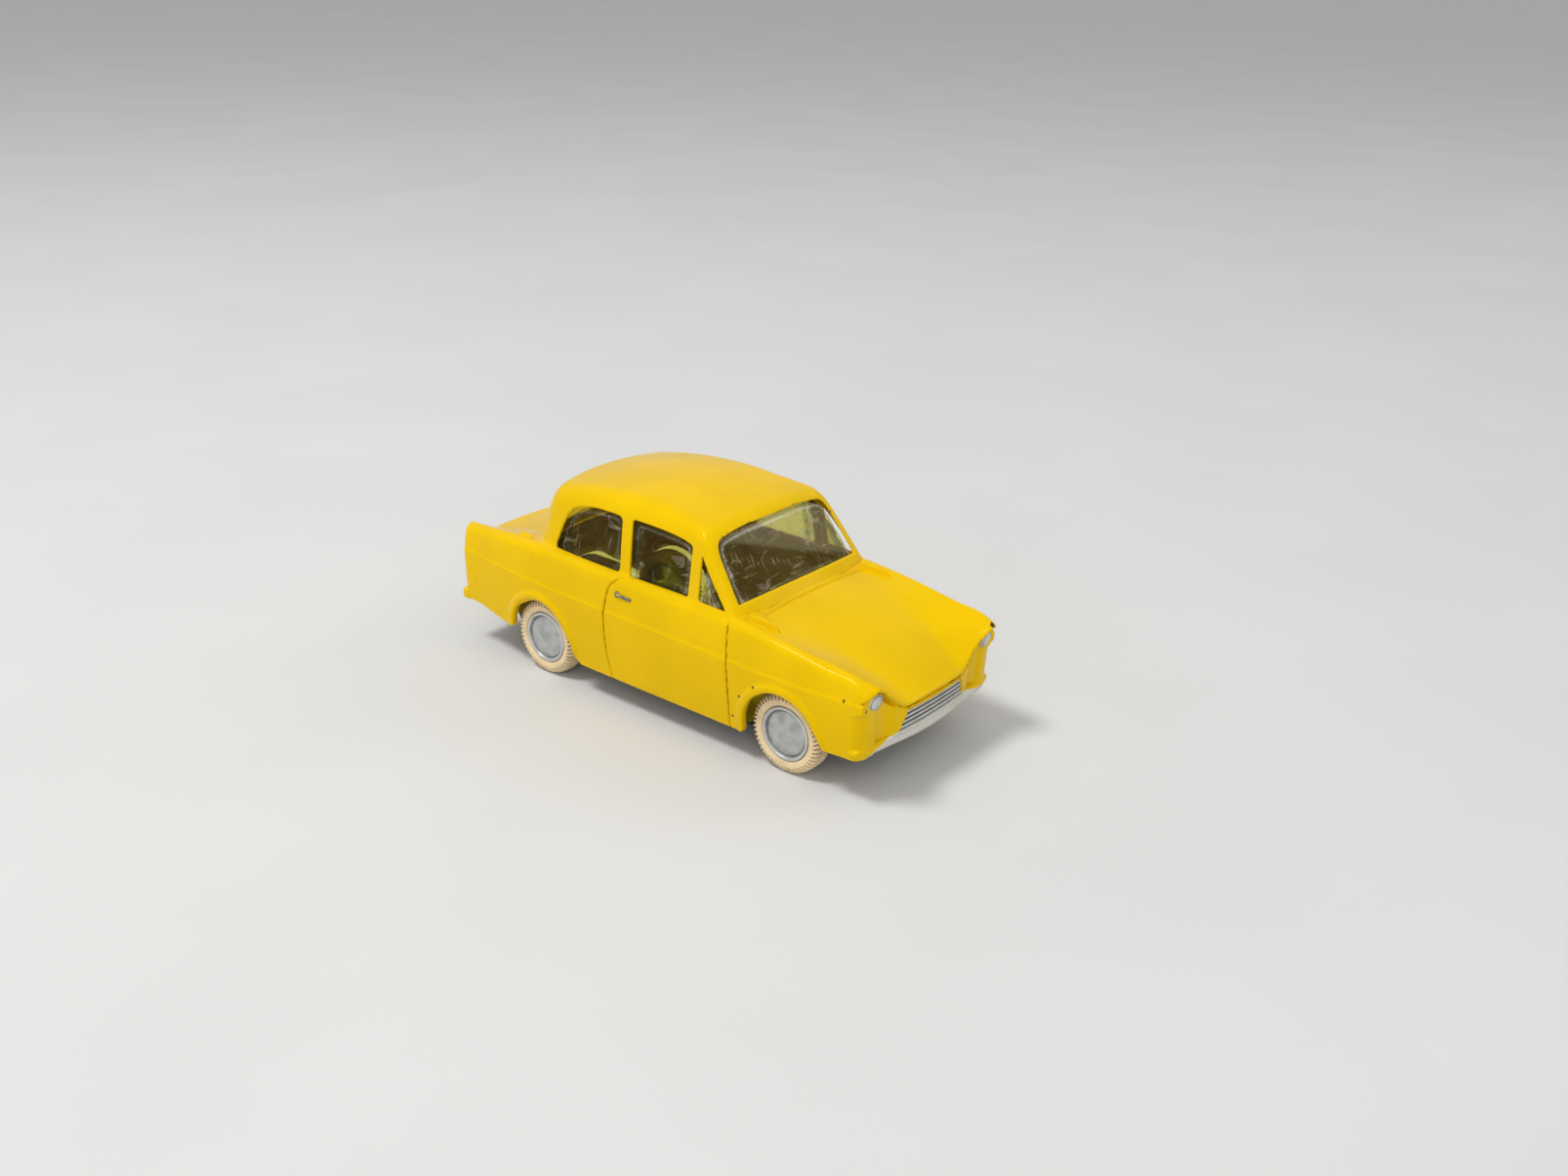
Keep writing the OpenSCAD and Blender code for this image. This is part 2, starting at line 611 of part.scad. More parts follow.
module tyre_front_right() {
    tyre(front_wheel_x, -1);
}
module tyre_rear_left() {
    tyre(rear_wheel_x, 1);
}
module tyre_rear_right() {
    tyre(rear_wheel_x, -1);
}

body_shell();
window_glazing();
baseplate();
front_rivet();
rear_rivet();
front_axle();
rear_axle();
hub_front_left();
hub_front_right();
hub_rear_left();
hub_rear_right();
tyre_front_left();
tyre_front_right();
tyre_rear_left();
tyre_rear_right();
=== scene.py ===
# Looks of a small die-cast saloon car: enamelled casting, clear glazing, metal hubs, ribbed tyres.
import math

import bpy
import numpy as np
from bpy.props import FloatProperty, FloatVectorProperty, IntProperty, PointerProperty
from bpy.types import Operator, Panel, PropertyGroup
from mathutils import Matrix, Vector


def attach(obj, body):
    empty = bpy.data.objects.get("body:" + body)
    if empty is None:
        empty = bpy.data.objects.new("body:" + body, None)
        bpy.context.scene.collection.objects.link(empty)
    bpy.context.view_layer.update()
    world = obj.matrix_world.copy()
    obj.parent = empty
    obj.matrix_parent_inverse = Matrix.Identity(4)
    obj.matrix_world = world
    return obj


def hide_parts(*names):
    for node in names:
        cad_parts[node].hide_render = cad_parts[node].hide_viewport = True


bl_info = {
    "name": "Die-cast saloon car",
    "version": (1, 0, 0),
    "blender": (4, 5, 0),
    "location": "3D View > Sidebar > Toy car",
    "description": "Dresses the frame of a small die-cast saloon car",
    "category": "Object",
}

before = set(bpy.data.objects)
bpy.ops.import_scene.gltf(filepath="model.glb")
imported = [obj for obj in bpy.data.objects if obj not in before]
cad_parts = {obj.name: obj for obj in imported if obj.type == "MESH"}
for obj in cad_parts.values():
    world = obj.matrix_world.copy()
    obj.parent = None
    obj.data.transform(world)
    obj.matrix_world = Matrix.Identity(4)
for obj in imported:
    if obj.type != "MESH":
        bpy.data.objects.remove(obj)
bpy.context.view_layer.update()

MM = 0.001
SIDES = {"left": 1, "right": -1}
AXLE_X = {"front": 26.3, "rear": -21.5}
CORNERS = [(end, side, s) for end in AXLE_X for side, s in SIDES.items()]
WHEEL_Z = 6.0
TRACK = 30.2
TYRE_R = 6.0
HUB_R = 4.05

# Master curves of the casting, in millimetres along X: half width, waist crease, fender tops and
# their fold, middle of bonnet and boot, and middle of the roof
PLAN = ((-42, 13.6), (-40, 14.85), (-36, 15.3), (-30, 15.85), (-20, 16.3), (-5, 16.55), (10, 16.6),
        (30, 16.6), (36, 16.35), (40, 16.2), (42, 15.8))
WAIST = ((-42, 16.2), (-20, 15.5), (0, 15.25), (16, 15), (30, 14.9), (42, 15.2))
CREST = ((-42, 19.8), (-38, 20.1), (-30, 20.75), (-20, 21.1), (0, 21.1), (12, 20.9), (18, 20.6),
         (27, 19.6), (34, 18.7), (38, 18.2), (42, 17.1))
FOLD = ((-42, 12.7), (-38, 13.1), (-30, 13.6), (-20, 14.3), (0, 14.6), (17, 14.9), (28, 14.9),
        (34, 14.5), (39, 14.4), (42, 13.3))
DECK = ((-42, 17.7), (-40, 17.85), (-34, 19), (-28, 20.25), (-24, 20.95), (-10, 21.2), (10, 21.2),
        (18, 21.05), (24, 19.95), (30, 18.1), (35, 16.05), (38, 14.4), (40, 13), (42, 11.45))
ROOF = ((-30, 28.3), (-25, 30), (-20, 31.1), (-14, 32.15), (-8, 32.75), (-2, 32.9), (4, 32.45),
        (9, 31.7), (14, 30.75), (20, 28.7))
# Over the half width: front edge of bonnet and fender tips, face below it, face of the bumper
NOSE = ((0, 41.05), (5, 40.9), (8.4, 40.6), (11, 40.5), (13.3, 41.15), (15, 40.75), (17, 39.8))
FACE = ((0, 40.6), (4, 40.5), (7.6, 40.25), (8.8, 40.05), (9.8, 39.55), (12, 39.35), (13, 39.6),
        (14.2, 39.65), (15.2, 39.25), (16, 38.5), (17, 37.1))
BUMPER = ((0, 40.65), (4, 40.52), (8, 40.15), (12, 39.95), (14.5, 39.7), (17, 39.0))
# Door lines: X over Z
DOOR_REAR = ((4, -6.1), (8, -6.9), (12.1, -7.2), (17, -6.9), (19.5, -6.0), (20.9, -4.3))
DOOR_FRONT = ((4, 17.1), (10, 17.0), (16, 16.7), (21, 16.4))
# Lower edge of the casting: Z over X
UNDER_X = (-43, -37.4, -36, -30, -14.9, -12.9, 26.3, 32.9, 34.9, 38, 43)
UNDER_Z = (7.3, 7.3, 7.1, 6, 5.4, 4.2, 4.2, 6.2, 6.4, 6.5, 6.5)
# Window outlines, counter-clockwise: side windows in X and Z, screens in Y and Z
QUARTER = ((-19.85, 21.15), (-5.5, 21.1), (-6.1, 29.25), (-9.5, 29.5), (-12, 29.4), (-14, 29.05),
           (-16, 28.35), (-17.85, 26.5), (-19, 23.8))
DOOR = ((-3.5, 21.05), (8, 21.05), (7.8, 28.45), (5.8, 29), (2, 29.36), (-4.1, 29.3))
VENT = ((10.3, 21.3), (15.45, 21.15), (9.9, 27.7))
SCREEN = ((-13.35, 22.4), (13.35, 22.4), (12.4, 28.9), (11.5, 30), (8.3, 30.5), (-8.3, 30.5),
          (-11.5, 30), (-12.4, 28.9))
BACKLIGHT = ((-10.6, 22.1), (10.6, 22.1), (9.8, 28.3), (5, 28.8), (-5, 28.8), (-9.8, 28.3))
# Belt, arches, lower edges of the bumpers, and the grille from its lower to its upper edge
BELT = 20.8
ARCH_R = 6.6
NOSE_Z = 6.4
TAIL_Z = 7.2
GRILLE_Z = (8.4, 11.35)
GRILLE_HALF = (7.75, 6.45)
GRILLE_BARS = 4
# Headlamp's middle, half width and half height, and the handle's rear end and length
LAMP = (40.15, 13.5, 14.85)
LAMP_HALF = (1.26, 1.34)
HANDLE = (-4.9, 18.5)
HANDLE_LONG = 3.3
# Side wall: foot, tuck towards foot and top, swelling and lip of the arches, tops of the door
# lines, and the half width where the bonnet starts to rise
SILL_Z = 4.2
SIDE_TUCK = 0.75
ARCH_FLARE = 0.3
ARCH_LIP = 0.4
DOOR_TOP = {"rear": 20.9, "front": 20.7}
DISH = 7.3
# Lines across the cowl: place along X, depth and half width, and the half width where they end
COWL = ((19.1, 0.25, 0.17), (18.3, 0.2, 0.17), (18.7, -0.1, 0.25))
COWL_END = 11.8
# Raised drops beside the cowl and on the fins: head, tip and radius in plan
COWL_VENT = ((19.0, 12.9), (23.4, 13.05), 1.1)
FIN_DROP = ((-28.2, 12.45), (-25.4, 12.9), 0.8)
# Face: lean in the middle and how much less at the corners, height where the lean starts, the
# full corners behind the headlamps, the place where the bonnet's lip is read, and the tail
FACE_LEAN = (0.12, 0.06)
FACE_FOOT = 8.7
POD_X = 40.05
POD_Z = 12.4
LIP_X = 40.6
TAIL_X = -40.85
# Cabin: half width at the belt, extra at the front pillars, bow of the roof, screen and back
CABIN_HALF = 14.6
PILLAR = 0.9
ROOF_BOW = 0.006
SCREEN_X, SCREEN_LEAN, SCREEN_BOW, SCREEN_SAG = 18.7, 0.75, 0.008, 0.0033
BACK_X, BACK_LEAN, BACK_BOW = -26.7, 0.2, 0.0158
# Bumper bars: half height, half depth, edge radius, half widths, and the rear bar's place and bow
BAR_HALF, BAR_DEPTH, BAR_EDGE = 0.92, 0.8, 0.45
FRONT_BAR, REAR_BAR = 16.1, 15.0
FRONT_TAPER = 0.0015
REAR_BAR_X, REAR_BAR_BOW = 41.2, 0.0022
# Clear moulding: room behind the wall, rise of the panes, thickness and lower edge
GLASS_ROOM, PANE_RISE, GLASS_WALL, GLASS_FOOT = 0.08, 0.85, 0.7, 18.9


def curve(points):
    """A smooth curve through points, as a function"""
    x, v = np.array(points, float).T
    w = np.diff(x)
    d = np.diff(v)/w
    m = np.concatenate([d[:1], (d[:-1]*w[1:] + d[1:]*w[:-1])/(w[:-1] + w[1:]), d[-1:]])
    xs = np.linspace(x[0], x[-1], 700)
    i = np.clip(np.searchsorted(x, xs) - 1, 0, len(w) - 1)
    t = (xs - x[i])/w[i]
    vs = ((2*t**3 - 3*t**2 + 1)*v[i] + (t**3 - 2*t**2 + t)*w[i]*m[i]
          + (3*t**2 - 2*t**3)*v[i + 1] + (t**3 - t**2)*w[i]*m[i + 1])
    return lambda q: np.interp(q, xs, vs)


plan, waist, crest, fold, deck, roof = (curve(c) for c in (PLAN, WAIST, CREST, FOLD, DECK, ROOF))
nose, face, bumper = curve(NOSE), curve(FACE), curve(BUMPER)
door_rear, door_front = curve(DOOR_REAR), curve(DOOR_FRONT)


def ease(t):
    t = np.clip(t, 0, 1)
    return t*t*(3 - 2*t)


def both(a, b, k):
    """Overlap of two fields, with the edge between them rounded over k"""
    h = np.clip(0.5 + 0.5*(a - b)/k, 0, 1)
    return b + (a - b)*h + k*h*(1 - h)


def either(a, b, k):
    """Join of two fields, with the corner between them filled over k"""
    return -both(-a, -b, k)


def bell(d, width):
    return np.exp(-(d/width)**2)


def convex(points, u, v, k):
    """Field of a convex outline given counter-clockwise, with corners rounded over k"""
    f = None
    for p, q in zip(points, points[1:] + points[:1]):
        du, dv = q[0] - p[0], q[1] - p[1]
        d = ((u - p[0])*dv - (v - p[1])*du)/math.hypot(du, dv)
        f = d if f is None else both(f, d, k)
    return f


def drop(x, a, head, tip, r):
    """Field of a drop shape that tapers from its head to its tip"""
    du, dv = tip[0] - head[0], tip[1] - head[1]
    t = np.clip(((x - head[0])*du + (a - head[1])*dv)/(du*du + dv*dv), 0, 1)
    return np.hypot(x - head[0] - du*t, a - head[1] - dv*t) - r*(1 - 0.88*t)


def off_line(c, x, z):
    """Distance from a line given as X over Z"""
    e = 0.05
    slope = (c(z + e) - c(z - e))/(2*e)
    return np.abs(x - c(z))/np.sqrt(1 + slope*slope)


class Casting:
    """Field of the body casting, below zero inside the metal, in millimetres"""

    def __init__(self, look):
        self.look = look

    def side_y(self, x, z):
        zw, zc = waist(x), crest(x)
        low = np.clip((zw - z)/(zw - SILL_Z), 0, 1.2)
        up = np.clip((z - zw)/(zc - zw), 0, 1.5)
        y = plan(x) - self.look.crease*ease((z - zw)/0.6 + 0.5) - SIDE_TUCK*(low*low + up**1.6)
        for ax in AXLE_X.values():
            y = y + ARCH_FLARE*ease((ARCH_R + 1.5 - np.hypot(x - ax, z - WHEEL_Z))/0.8)
        cut = np.where(z < DOOR_TOP["rear"], bell(off_line(door_rear, x, z), self.look.groove_w), 0)
        front = bell(off_line(door_front, x, z), self.look.groove_w)
        cut = cut + np.where(z < DOOR_TOP["front"], front, 0)
        return y - self.look.groove_d*cut

    def plain_deck(self, x, a):
        zm = deck(x) - 0.004*a*a
        ahead = ease((x + 8)/16)
        edge = fold(x)
        inner = DISH - 1.6*ease((x - 33)/7)
        t = np.clip((a - inner)/(edge - inner), 0, 1)
        rise = 0.5*ease(t) + 0.5*t**1.7
        return zm + (crest(x) - zm)*rise - (0.3 + 0.25*ahead)*np.maximum(a - edge, 0)

    def deck_z(self, x, a):
        z = self.plain_deck(x, a)
        cowl = sum(depth*bell(x - at, width) for at, depth, width in COWL)
        z = z - cowl*ease((COWL_END - a)/0.5)
        vent = drop(x, a, *COWL_VENT)
        z = z + 0.75*ease(-vent/0.3) - 0.14*bell(vent - 0.12, 0.16)
        return z + 0.45*ease(-drop(x, a, *FIN_DROP)/0.4)

    def grille_edge(self, a, z):
        """Field of the grille's outline on the face"""
        tall = GRILLE_Z[1] - GRILLE_Z[0]
        half = GRILLE_HALF[0] + (GRILLE_HALF[1] - GRILLE_HALF[0])*(z - GRILLE_Z[0])/tall
        return np.maximum(np.maximum(a - half, z - GRILLE_Z[1]), GRILLE_Z[0] - z)

    def face_x(self, a, z):
        """Face below the bonnet, with full corners at the height of the headlamps"""
        flat = face(a) + (FACE_LEAN[0] - FACE_LEAN[1]*ease((a - 9)/4))*(z - FACE_FOOT)
        pod = np.maximum(POD_X - flat, 0)*ease((a - 12.2)/1.4)
        return flat + pod*ease((z - POD_Z - 0.25*(a - 14))/1.2)

    def front_x(self, a, z):
        outer = ease((a - 8.4)/1.2)*ease((13.6 - a)/0.8)
        lip = self.plain_deck(LIP_X, a) - 0.4 - 0.25*ease((a - 12)/1.5)
        flat = self.face_x(a, z)
        grille = self.grille_edge(a, z)
        flat = flat + 0.16*ease((0.7 - grille)/0.25)*ease((lip - 0.35 - z)/0.2)
        flat = flat + 0.22*bell(a - 12.75, 0.25)*ease((13 - z)/1.5) - 0.85*ease(0.5 - grille/0.16)
        flat = flat - (0.35 + 0.9*outer)*bell(z - lip + 0.3 + 0.1*outer, 0.18 + 0.12*outer)
        return flat + (nose(a) - flat)*ease((z - lip)/0.25 + 0.5)

    def lower(self, x, a, z):
        f = both(a - self.side_y(x, z), z - self.deck_z(x, a), 0.9 - 0.35*ease((x - 12)/10))
        f = both(f, x - self.front_x(a, z), 0.45)
        return both(f, TAIL_X + 0.002*a*a - x, 1.0)

    def cabin(self, x, a, z):
        h = np.maximum(z - BELT, 0)
        ahead = np.maximum(x - 2, 0)
        behind = np.maximum(-6 - x, 0)
        cy = CABIN_HALF - 0.155*h - 0.003*h*h - 0.0014*ahead*ahead - 0.0032*behind*behind
        cy = cy + PILLAR*ease((x - 6)/6)*(1 - 0.035*h)
        fore = ease((x - 2)/6)
        f = both((a - cy)*0.97, (z - roof(x) - 0.1*fore + ROOF_BOW*a*a)*0.98, 2.4 - 0.8*fore)
        f = both(f, (x - SCREEN_X + SCREEN_LEAN*h + SCREEN_BOW*a*a)*0.8, 1.2)
        return both(f, (BACK_X + BACK_LEAN*h + 0.0062*h*h + BACK_BOW*a*a - x)*0.87, 2.4)

    def windows(self, x, y, z):
        """Field of the five openings, below zero inside them"""
        side = np.minimum(convex(QUARTER, x, z, 0.9), convex(DOOR, x, z, 0.7))
        side = np.minimum(side, convex(VENT, x, z, 0.35))
        ahead = np.maximum(convex(SCREEN, y, z + SCREEN_SAG*y*y, 0.5), 6 - x)
        behind = np.maximum(convex(BACKLIGHT, y, z, 1.3), x + 17)
        return np.minimum(side, np.minimum(ahead, behind))

    def bar(self, x, a, z, front, half, middle, taper):
        """Field of a bumper bar with rounded edges and ends, behind its front face"""
        r = BAR_EDGE
        tall = BAR_HALF - taper*a*a
        dx = np.maximum(np.abs(x - front + BAR_DEPTH) - BAR_DEPTH + r, 0)
        dz = np.maximum(np.abs(z - middle - taper*a*a) - tall + r, 0)
        dy = np.maximum(a - half + r, 0)
        return np.sqrt(dx*dx + dy*dy + dz*dz) - r

    def arches(self, x, a, z):
        """Field of the wheel arches, with a lip inside the wall along their tops"""
        f = None
        r = ARCH_R - ARCH_LIP*ease((16.0 - a)/0.3)*ease((z - 9.8)/1.6)
        for ax in AXLE_X.values():
            u, v = x - ax, z - 7
            legs = np.maximum(np.abs(u) - ARCH_R, z - WHEEL_Z)
            flare = np.maximum(np.maximum(-u, u - 7.1 + 0.157*v), (u - 7.1 + 0.6*v)*0.857)
            flare = np.maximum(flare, v - 2.3)
            one = np.minimum(np.hypot(u, z - WHEEL_Z) - r, np.minimum(legs, flare))
            f = one if f is None else np.minimum(f, one)
        return f

    def outside(self, x, y, z):
        a = np.abs(y)
        cabin = np.maximum(self.cabin(x, a, z), 14 - z)
        return either(self.lower(x, a, z), cabin, 0.6 - 0.4*ease((x - 15)/2))

    def field(self, x, y, z):
        a = np.abs(y)
        skin = self.outside(x, y, z)
        f = both(skin, -self.look.wall - skin, 0.15)
        gap = self.windows(x, y, z) - 1.3*ease((-skin - self.look.lip)/0.4)
        f = both(f, -gap, 0.2)
        f = both(f, both(-self.arches(x, a, z), np.interp(x, UNDER_X, UNDER_Z) - z, 1.0), 0.3)
        front = self.bar(x, a, z, bumper(a), FRONT_BAR, NOSE_Z + 0.9, FRONT_TAPER)
        rear = self.bar(-x, a, z, REAR_BAR_X - REAR_BAR_BOW*a*a, REAR_BAR, TAIL_Z + BAR_HALF, 0)
        return either(either(f, front, 0.12), rear, 0.12)

    def pads(self, x, y, z):
        """Field of the raised panes of the clear moulding, which go down behind the lower edges"""
        return self.windows(x, y, z + (0.75 + 0.4*ease((x - 8)/4))*ease((24.5 - z)/2))

    def glass(self, x, y, z):
        """Field of the clear moulding, which stands up a little into each opening"""
        a = np.abs(y)
        out = self.look.wall + GLASS_ROOM - PANE_RISE*ease(-(self.pads(x, y, z) + 0.25)/0.55)
        c = np.maximum(self.cabin(x, a, z), GLASS_FOOT - z)
        return both(c + out, -GLASS_WALL - c - out, 0.2)


def grid_line(spans):
    """Grid coordinates from (end, step) spans after a first (start, None)"""
    line = [spans[0][0]]
    for end, step in spans[1:]:
        n = max(1, round((end - line[-1])/step))
        line.extend(np.linspace(line[-1], end, n + 1)[1:])
    return np.array(line)


def gradient(field, p, e=0.02):
    """Slope of a field at the points p"""
    out = np.empty_like(p)
    for i in range(3):
        d = np.zeros(3)
        d[i] = e
        out[:, i] = field(*(p + d).T) - field(*(p - d).T)
    return out/(2*e)


def signs(field, axes, block=4, steep=2.2):
    """Values of a field on a grid, worked out only in the blocks that its surface can reach"""
    shape = tuple(len(a) for a in axes)
    parts = [[np.arange(i, min(i + block, len(a))) for i in range(0, len(a), block)] for a in axes]
    mid = [np.array([(a[p[0]] + a[p[-1]])/2 for p in part]) for a, part in zip(axes, parts)]
    half = [np.array([(a[p[-1]] - a[p[0]])/2 for p in part]) for a, part in zip(axes, parts)]
    centre = field(*np.meshgrid(*mid, indexing="ij"))
    reach = np.sqrt(sum(h*h for h in np.meshgrid(*half, indexing="ij"))) + 0.4
    values = np.repeat(np.repeat(np.repeat(np.sign(centre), block, 0), block, 1), block, 2)
    values = values[:shape[0], :shape[1], :shape[2]]
    near = np.argwhere(np.abs(centre) < steep*reach)
    ids = near[:, :, None]*block + np.arange(block)
    ids = [np.minimum(ids[:, n], shape[n] - 1) for n in range(3)]
    full = (len(near), block, block, block)
    spread = ((-1, block, 1, 1), (-1, 1, block, 1), (-1, 1, 1, block))
    at = tuple(np.broadcast_to(i.reshape(way), full).ravel() for i, way in zip(ids, spread))
    values[at] = field(*(a[i] for a, i in zip(axes, at)))
    return values


# Places of the six different values of a symmetric 3 x 3 matrix
PAIRS = ((0, 0), (0, 1), (0, 2), (1, 1), (1, 2), (2, 2))


def skin_of(field, axes):
    """Vertices, quads and normals of a field's zero level, a vertex in each cell that it crosses"""
    values = signs(field, axes)
    inside = values < 0
    cells = tuple(n - 1 for n in values.shape)
    sums = np.zeros((13, cells[0]*cells[1]*cells[2]))
    quads = []
    for way in range(3):
        at = np.argwhere(np.diff(inside, axis=way))
        step = np.eye(3, dtype=int)[way]
        p = np.stack([axes[n][at[:, n]] for n in range(3)], 1)
        q = np.stack([axes[n][at[:, n] + step[n]] for n in range(3)], 1)
        fp = values[tuple(at.T)]
        fq = values[tuple((at + step).T)]
        for _ in range(3):
            t = np.clip(fp/(fp - fq), 0.05, 0.95)[:, None]
            m = p + (q - p)*t
            fm = field(*m.T)
            same = (fm < 0) == (fp < 0)
            p[same], fp[same] = m[same], fm[same]
            q[~same], fq[~same] = m[~same], fm[~same]
        m = p + (q - p)*np.clip(fp/(fp - fq), 0, 1)[:, None]
        n = gradient(field, m)
        n /= np.linalg.norm(n, axis=1, keepdims=True)
        s = (n*m).sum(1)
        rows = [n[:, i]*n[:, j] for i, j in PAIRS] + [*(n*s[:, None]).T, *m.T, np.ones(len(m))]
        u, v = (way + 1) % 3, (way + 2) % 3
        ring = []
        for du, dv in ((0, 0), (-1, 0), (-1, -1), (0, -1)):
            c = at.copy()
            c[:, u] += du
            c[:, v] += dv
            c = np.ravel_multi_index(tuple(c.T), cells)
            ring.append(c)
            for row, weight in zip(sums, rows):
                row += np.bincount(c, weight, len(row))
        ring = np.stack(ring, 1)
        out = inside[tuple(at.T)]
        ring[~out] = ring[~out, ::-1]
        quads.append(ring)
    used = np.flatnonzero(sums[12])
    r = sums[:, used]
    mean = (r[9:12]/r[12]).T
    a = np.empty((len(used), 3, 3))
    for (i, j), row in zip(PAIRS, r[:6]):
        a[:, i, j] = a[:, j, i] = row
    pull = 0.06*r[12]
    a[:, range(3), range(3)] += pull[:, None]
    b = r[6:9].T + pull[:, None]*mean
    points = np.linalg.solve(a, b[:, :, None])[:, :, 0]
    cell = np.stack(np.unravel_index(used, cells), 1)
    for n in range(3):
        points[:, n] = np.clip(points[:, n], axes[n][cell[:, n]], axes[n][cell[:, n] + 1])
    number = np.zeros(len(sums[0]), int)
    number[used] = np.arange(len(used))
    normals = gradient(field, points, 0.03)
    normals /= np.linalg.norm(normals, axis=1, keepdims=True) + 1e-9
    return points, number[np.concatenate(quads)], normals


def layer(hollow, edge=0, inside=0):
    """Colour layer of a mesh from what is hollow, edge and inside"""
    return np.stack(np.broadcast_arrays(hollow, edge, inside), 1)


def mesh_object(name, points, faces, finish, marks=None, normals=None):
    """An object in the frame from millimetre points, with a colour layer and normals where given"""
    mesh = bpy.data.meshes.new(name)
    mesh.materials.append(finish)
    faces = np.asarray(faces)
    count, corners = faces.shape
    mesh.vertices.add(len(points))
    mesh.vertices.foreach_set("co", (np.asarray(points, float)*MM).ravel())
    mesh.loops.add(faces.size)
    mesh.loops.foreach_set("vertex_index", faces.astype(np.int32).ravel())
    mesh.polygons.add(count)
    mesh.polygons.foreach_set("loop_start", np.arange(0, faces.size, corners, dtype=np.int32))
    mesh.update(calc_edges=True)
    mesh.polygons.foreach_set("use_smooth", np.ones(count, bool))
    if marks is not None:
        full = np.ones((len(points), 4), np.float32)
        full[:, :3] = marks
        mesh.attributes.new("marks", "FLOAT_COLOR", "POINT").data.foreach_set("color", full.ravel())
    if normals is not None:
        mesh.normals_split_custom_set_from_vertices(np.asarray(normals, float).tolist())
    mesh.validate()
    obj = bpy.data.objects.new(name, mesh)
    bpy.context.scene.collection.objects.link(obj)
    return obj


def circle(n):
    """Angles of n points round a circle"""
    return np.linspace(0, 2*math.pi, n, endpoint=False)


def swept(rings, flip):
    """Points and faces of a tube through equal closed rings of points, turned over to flip"""
    rings = np.asarray(rings)
    n, m = rings.shape[:2]
    i, j = np.meshgrid(np.arange(n - 1), np.arange(m), indexing="ij")
    j2 = (j + 1) % m
    i = i*m
    quads = np.stack([i + j, i + m + j, i + m + j2, i + j2], -1).reshape(-1, 4)
    return rings.reshape(-1, 3), quads[:, ::-1] if flip else quads


class Value:
    """A number socket of a node tree: sums and products of it add Math nodes"""

    def __init__(self, finish, socket):
        self.finish = finish
        self.socket = socket

    def _math(self, operation, a, b):
        node = self.finish.node("ShaderNodeMath", {"operation": operation}, {0: a, 1: b})
        return Value(self.finish, node.outputs[0])

    def __add__(self, other):
        return self._math("ADD", self, other)

    __radd__ = __add__

    def __mul__(self, other):
        return self._math("MULTIPLY", self, other)

    __rmul__ = __mul__

    def __sub__(self, other):
        return self._math("SUBTRACT", self, other)

    def __rsub__(self, other):
        return self._math("SUBTRACT", other, self)

    def __abs__(self):
        return self._math("ABSOLUTE", self, 0.0)

    def larger(self, other):
        return self._math("MAXIMUM", self, other)

    def smaller(self, other):
        return self._math("MINIMUM", self, other)


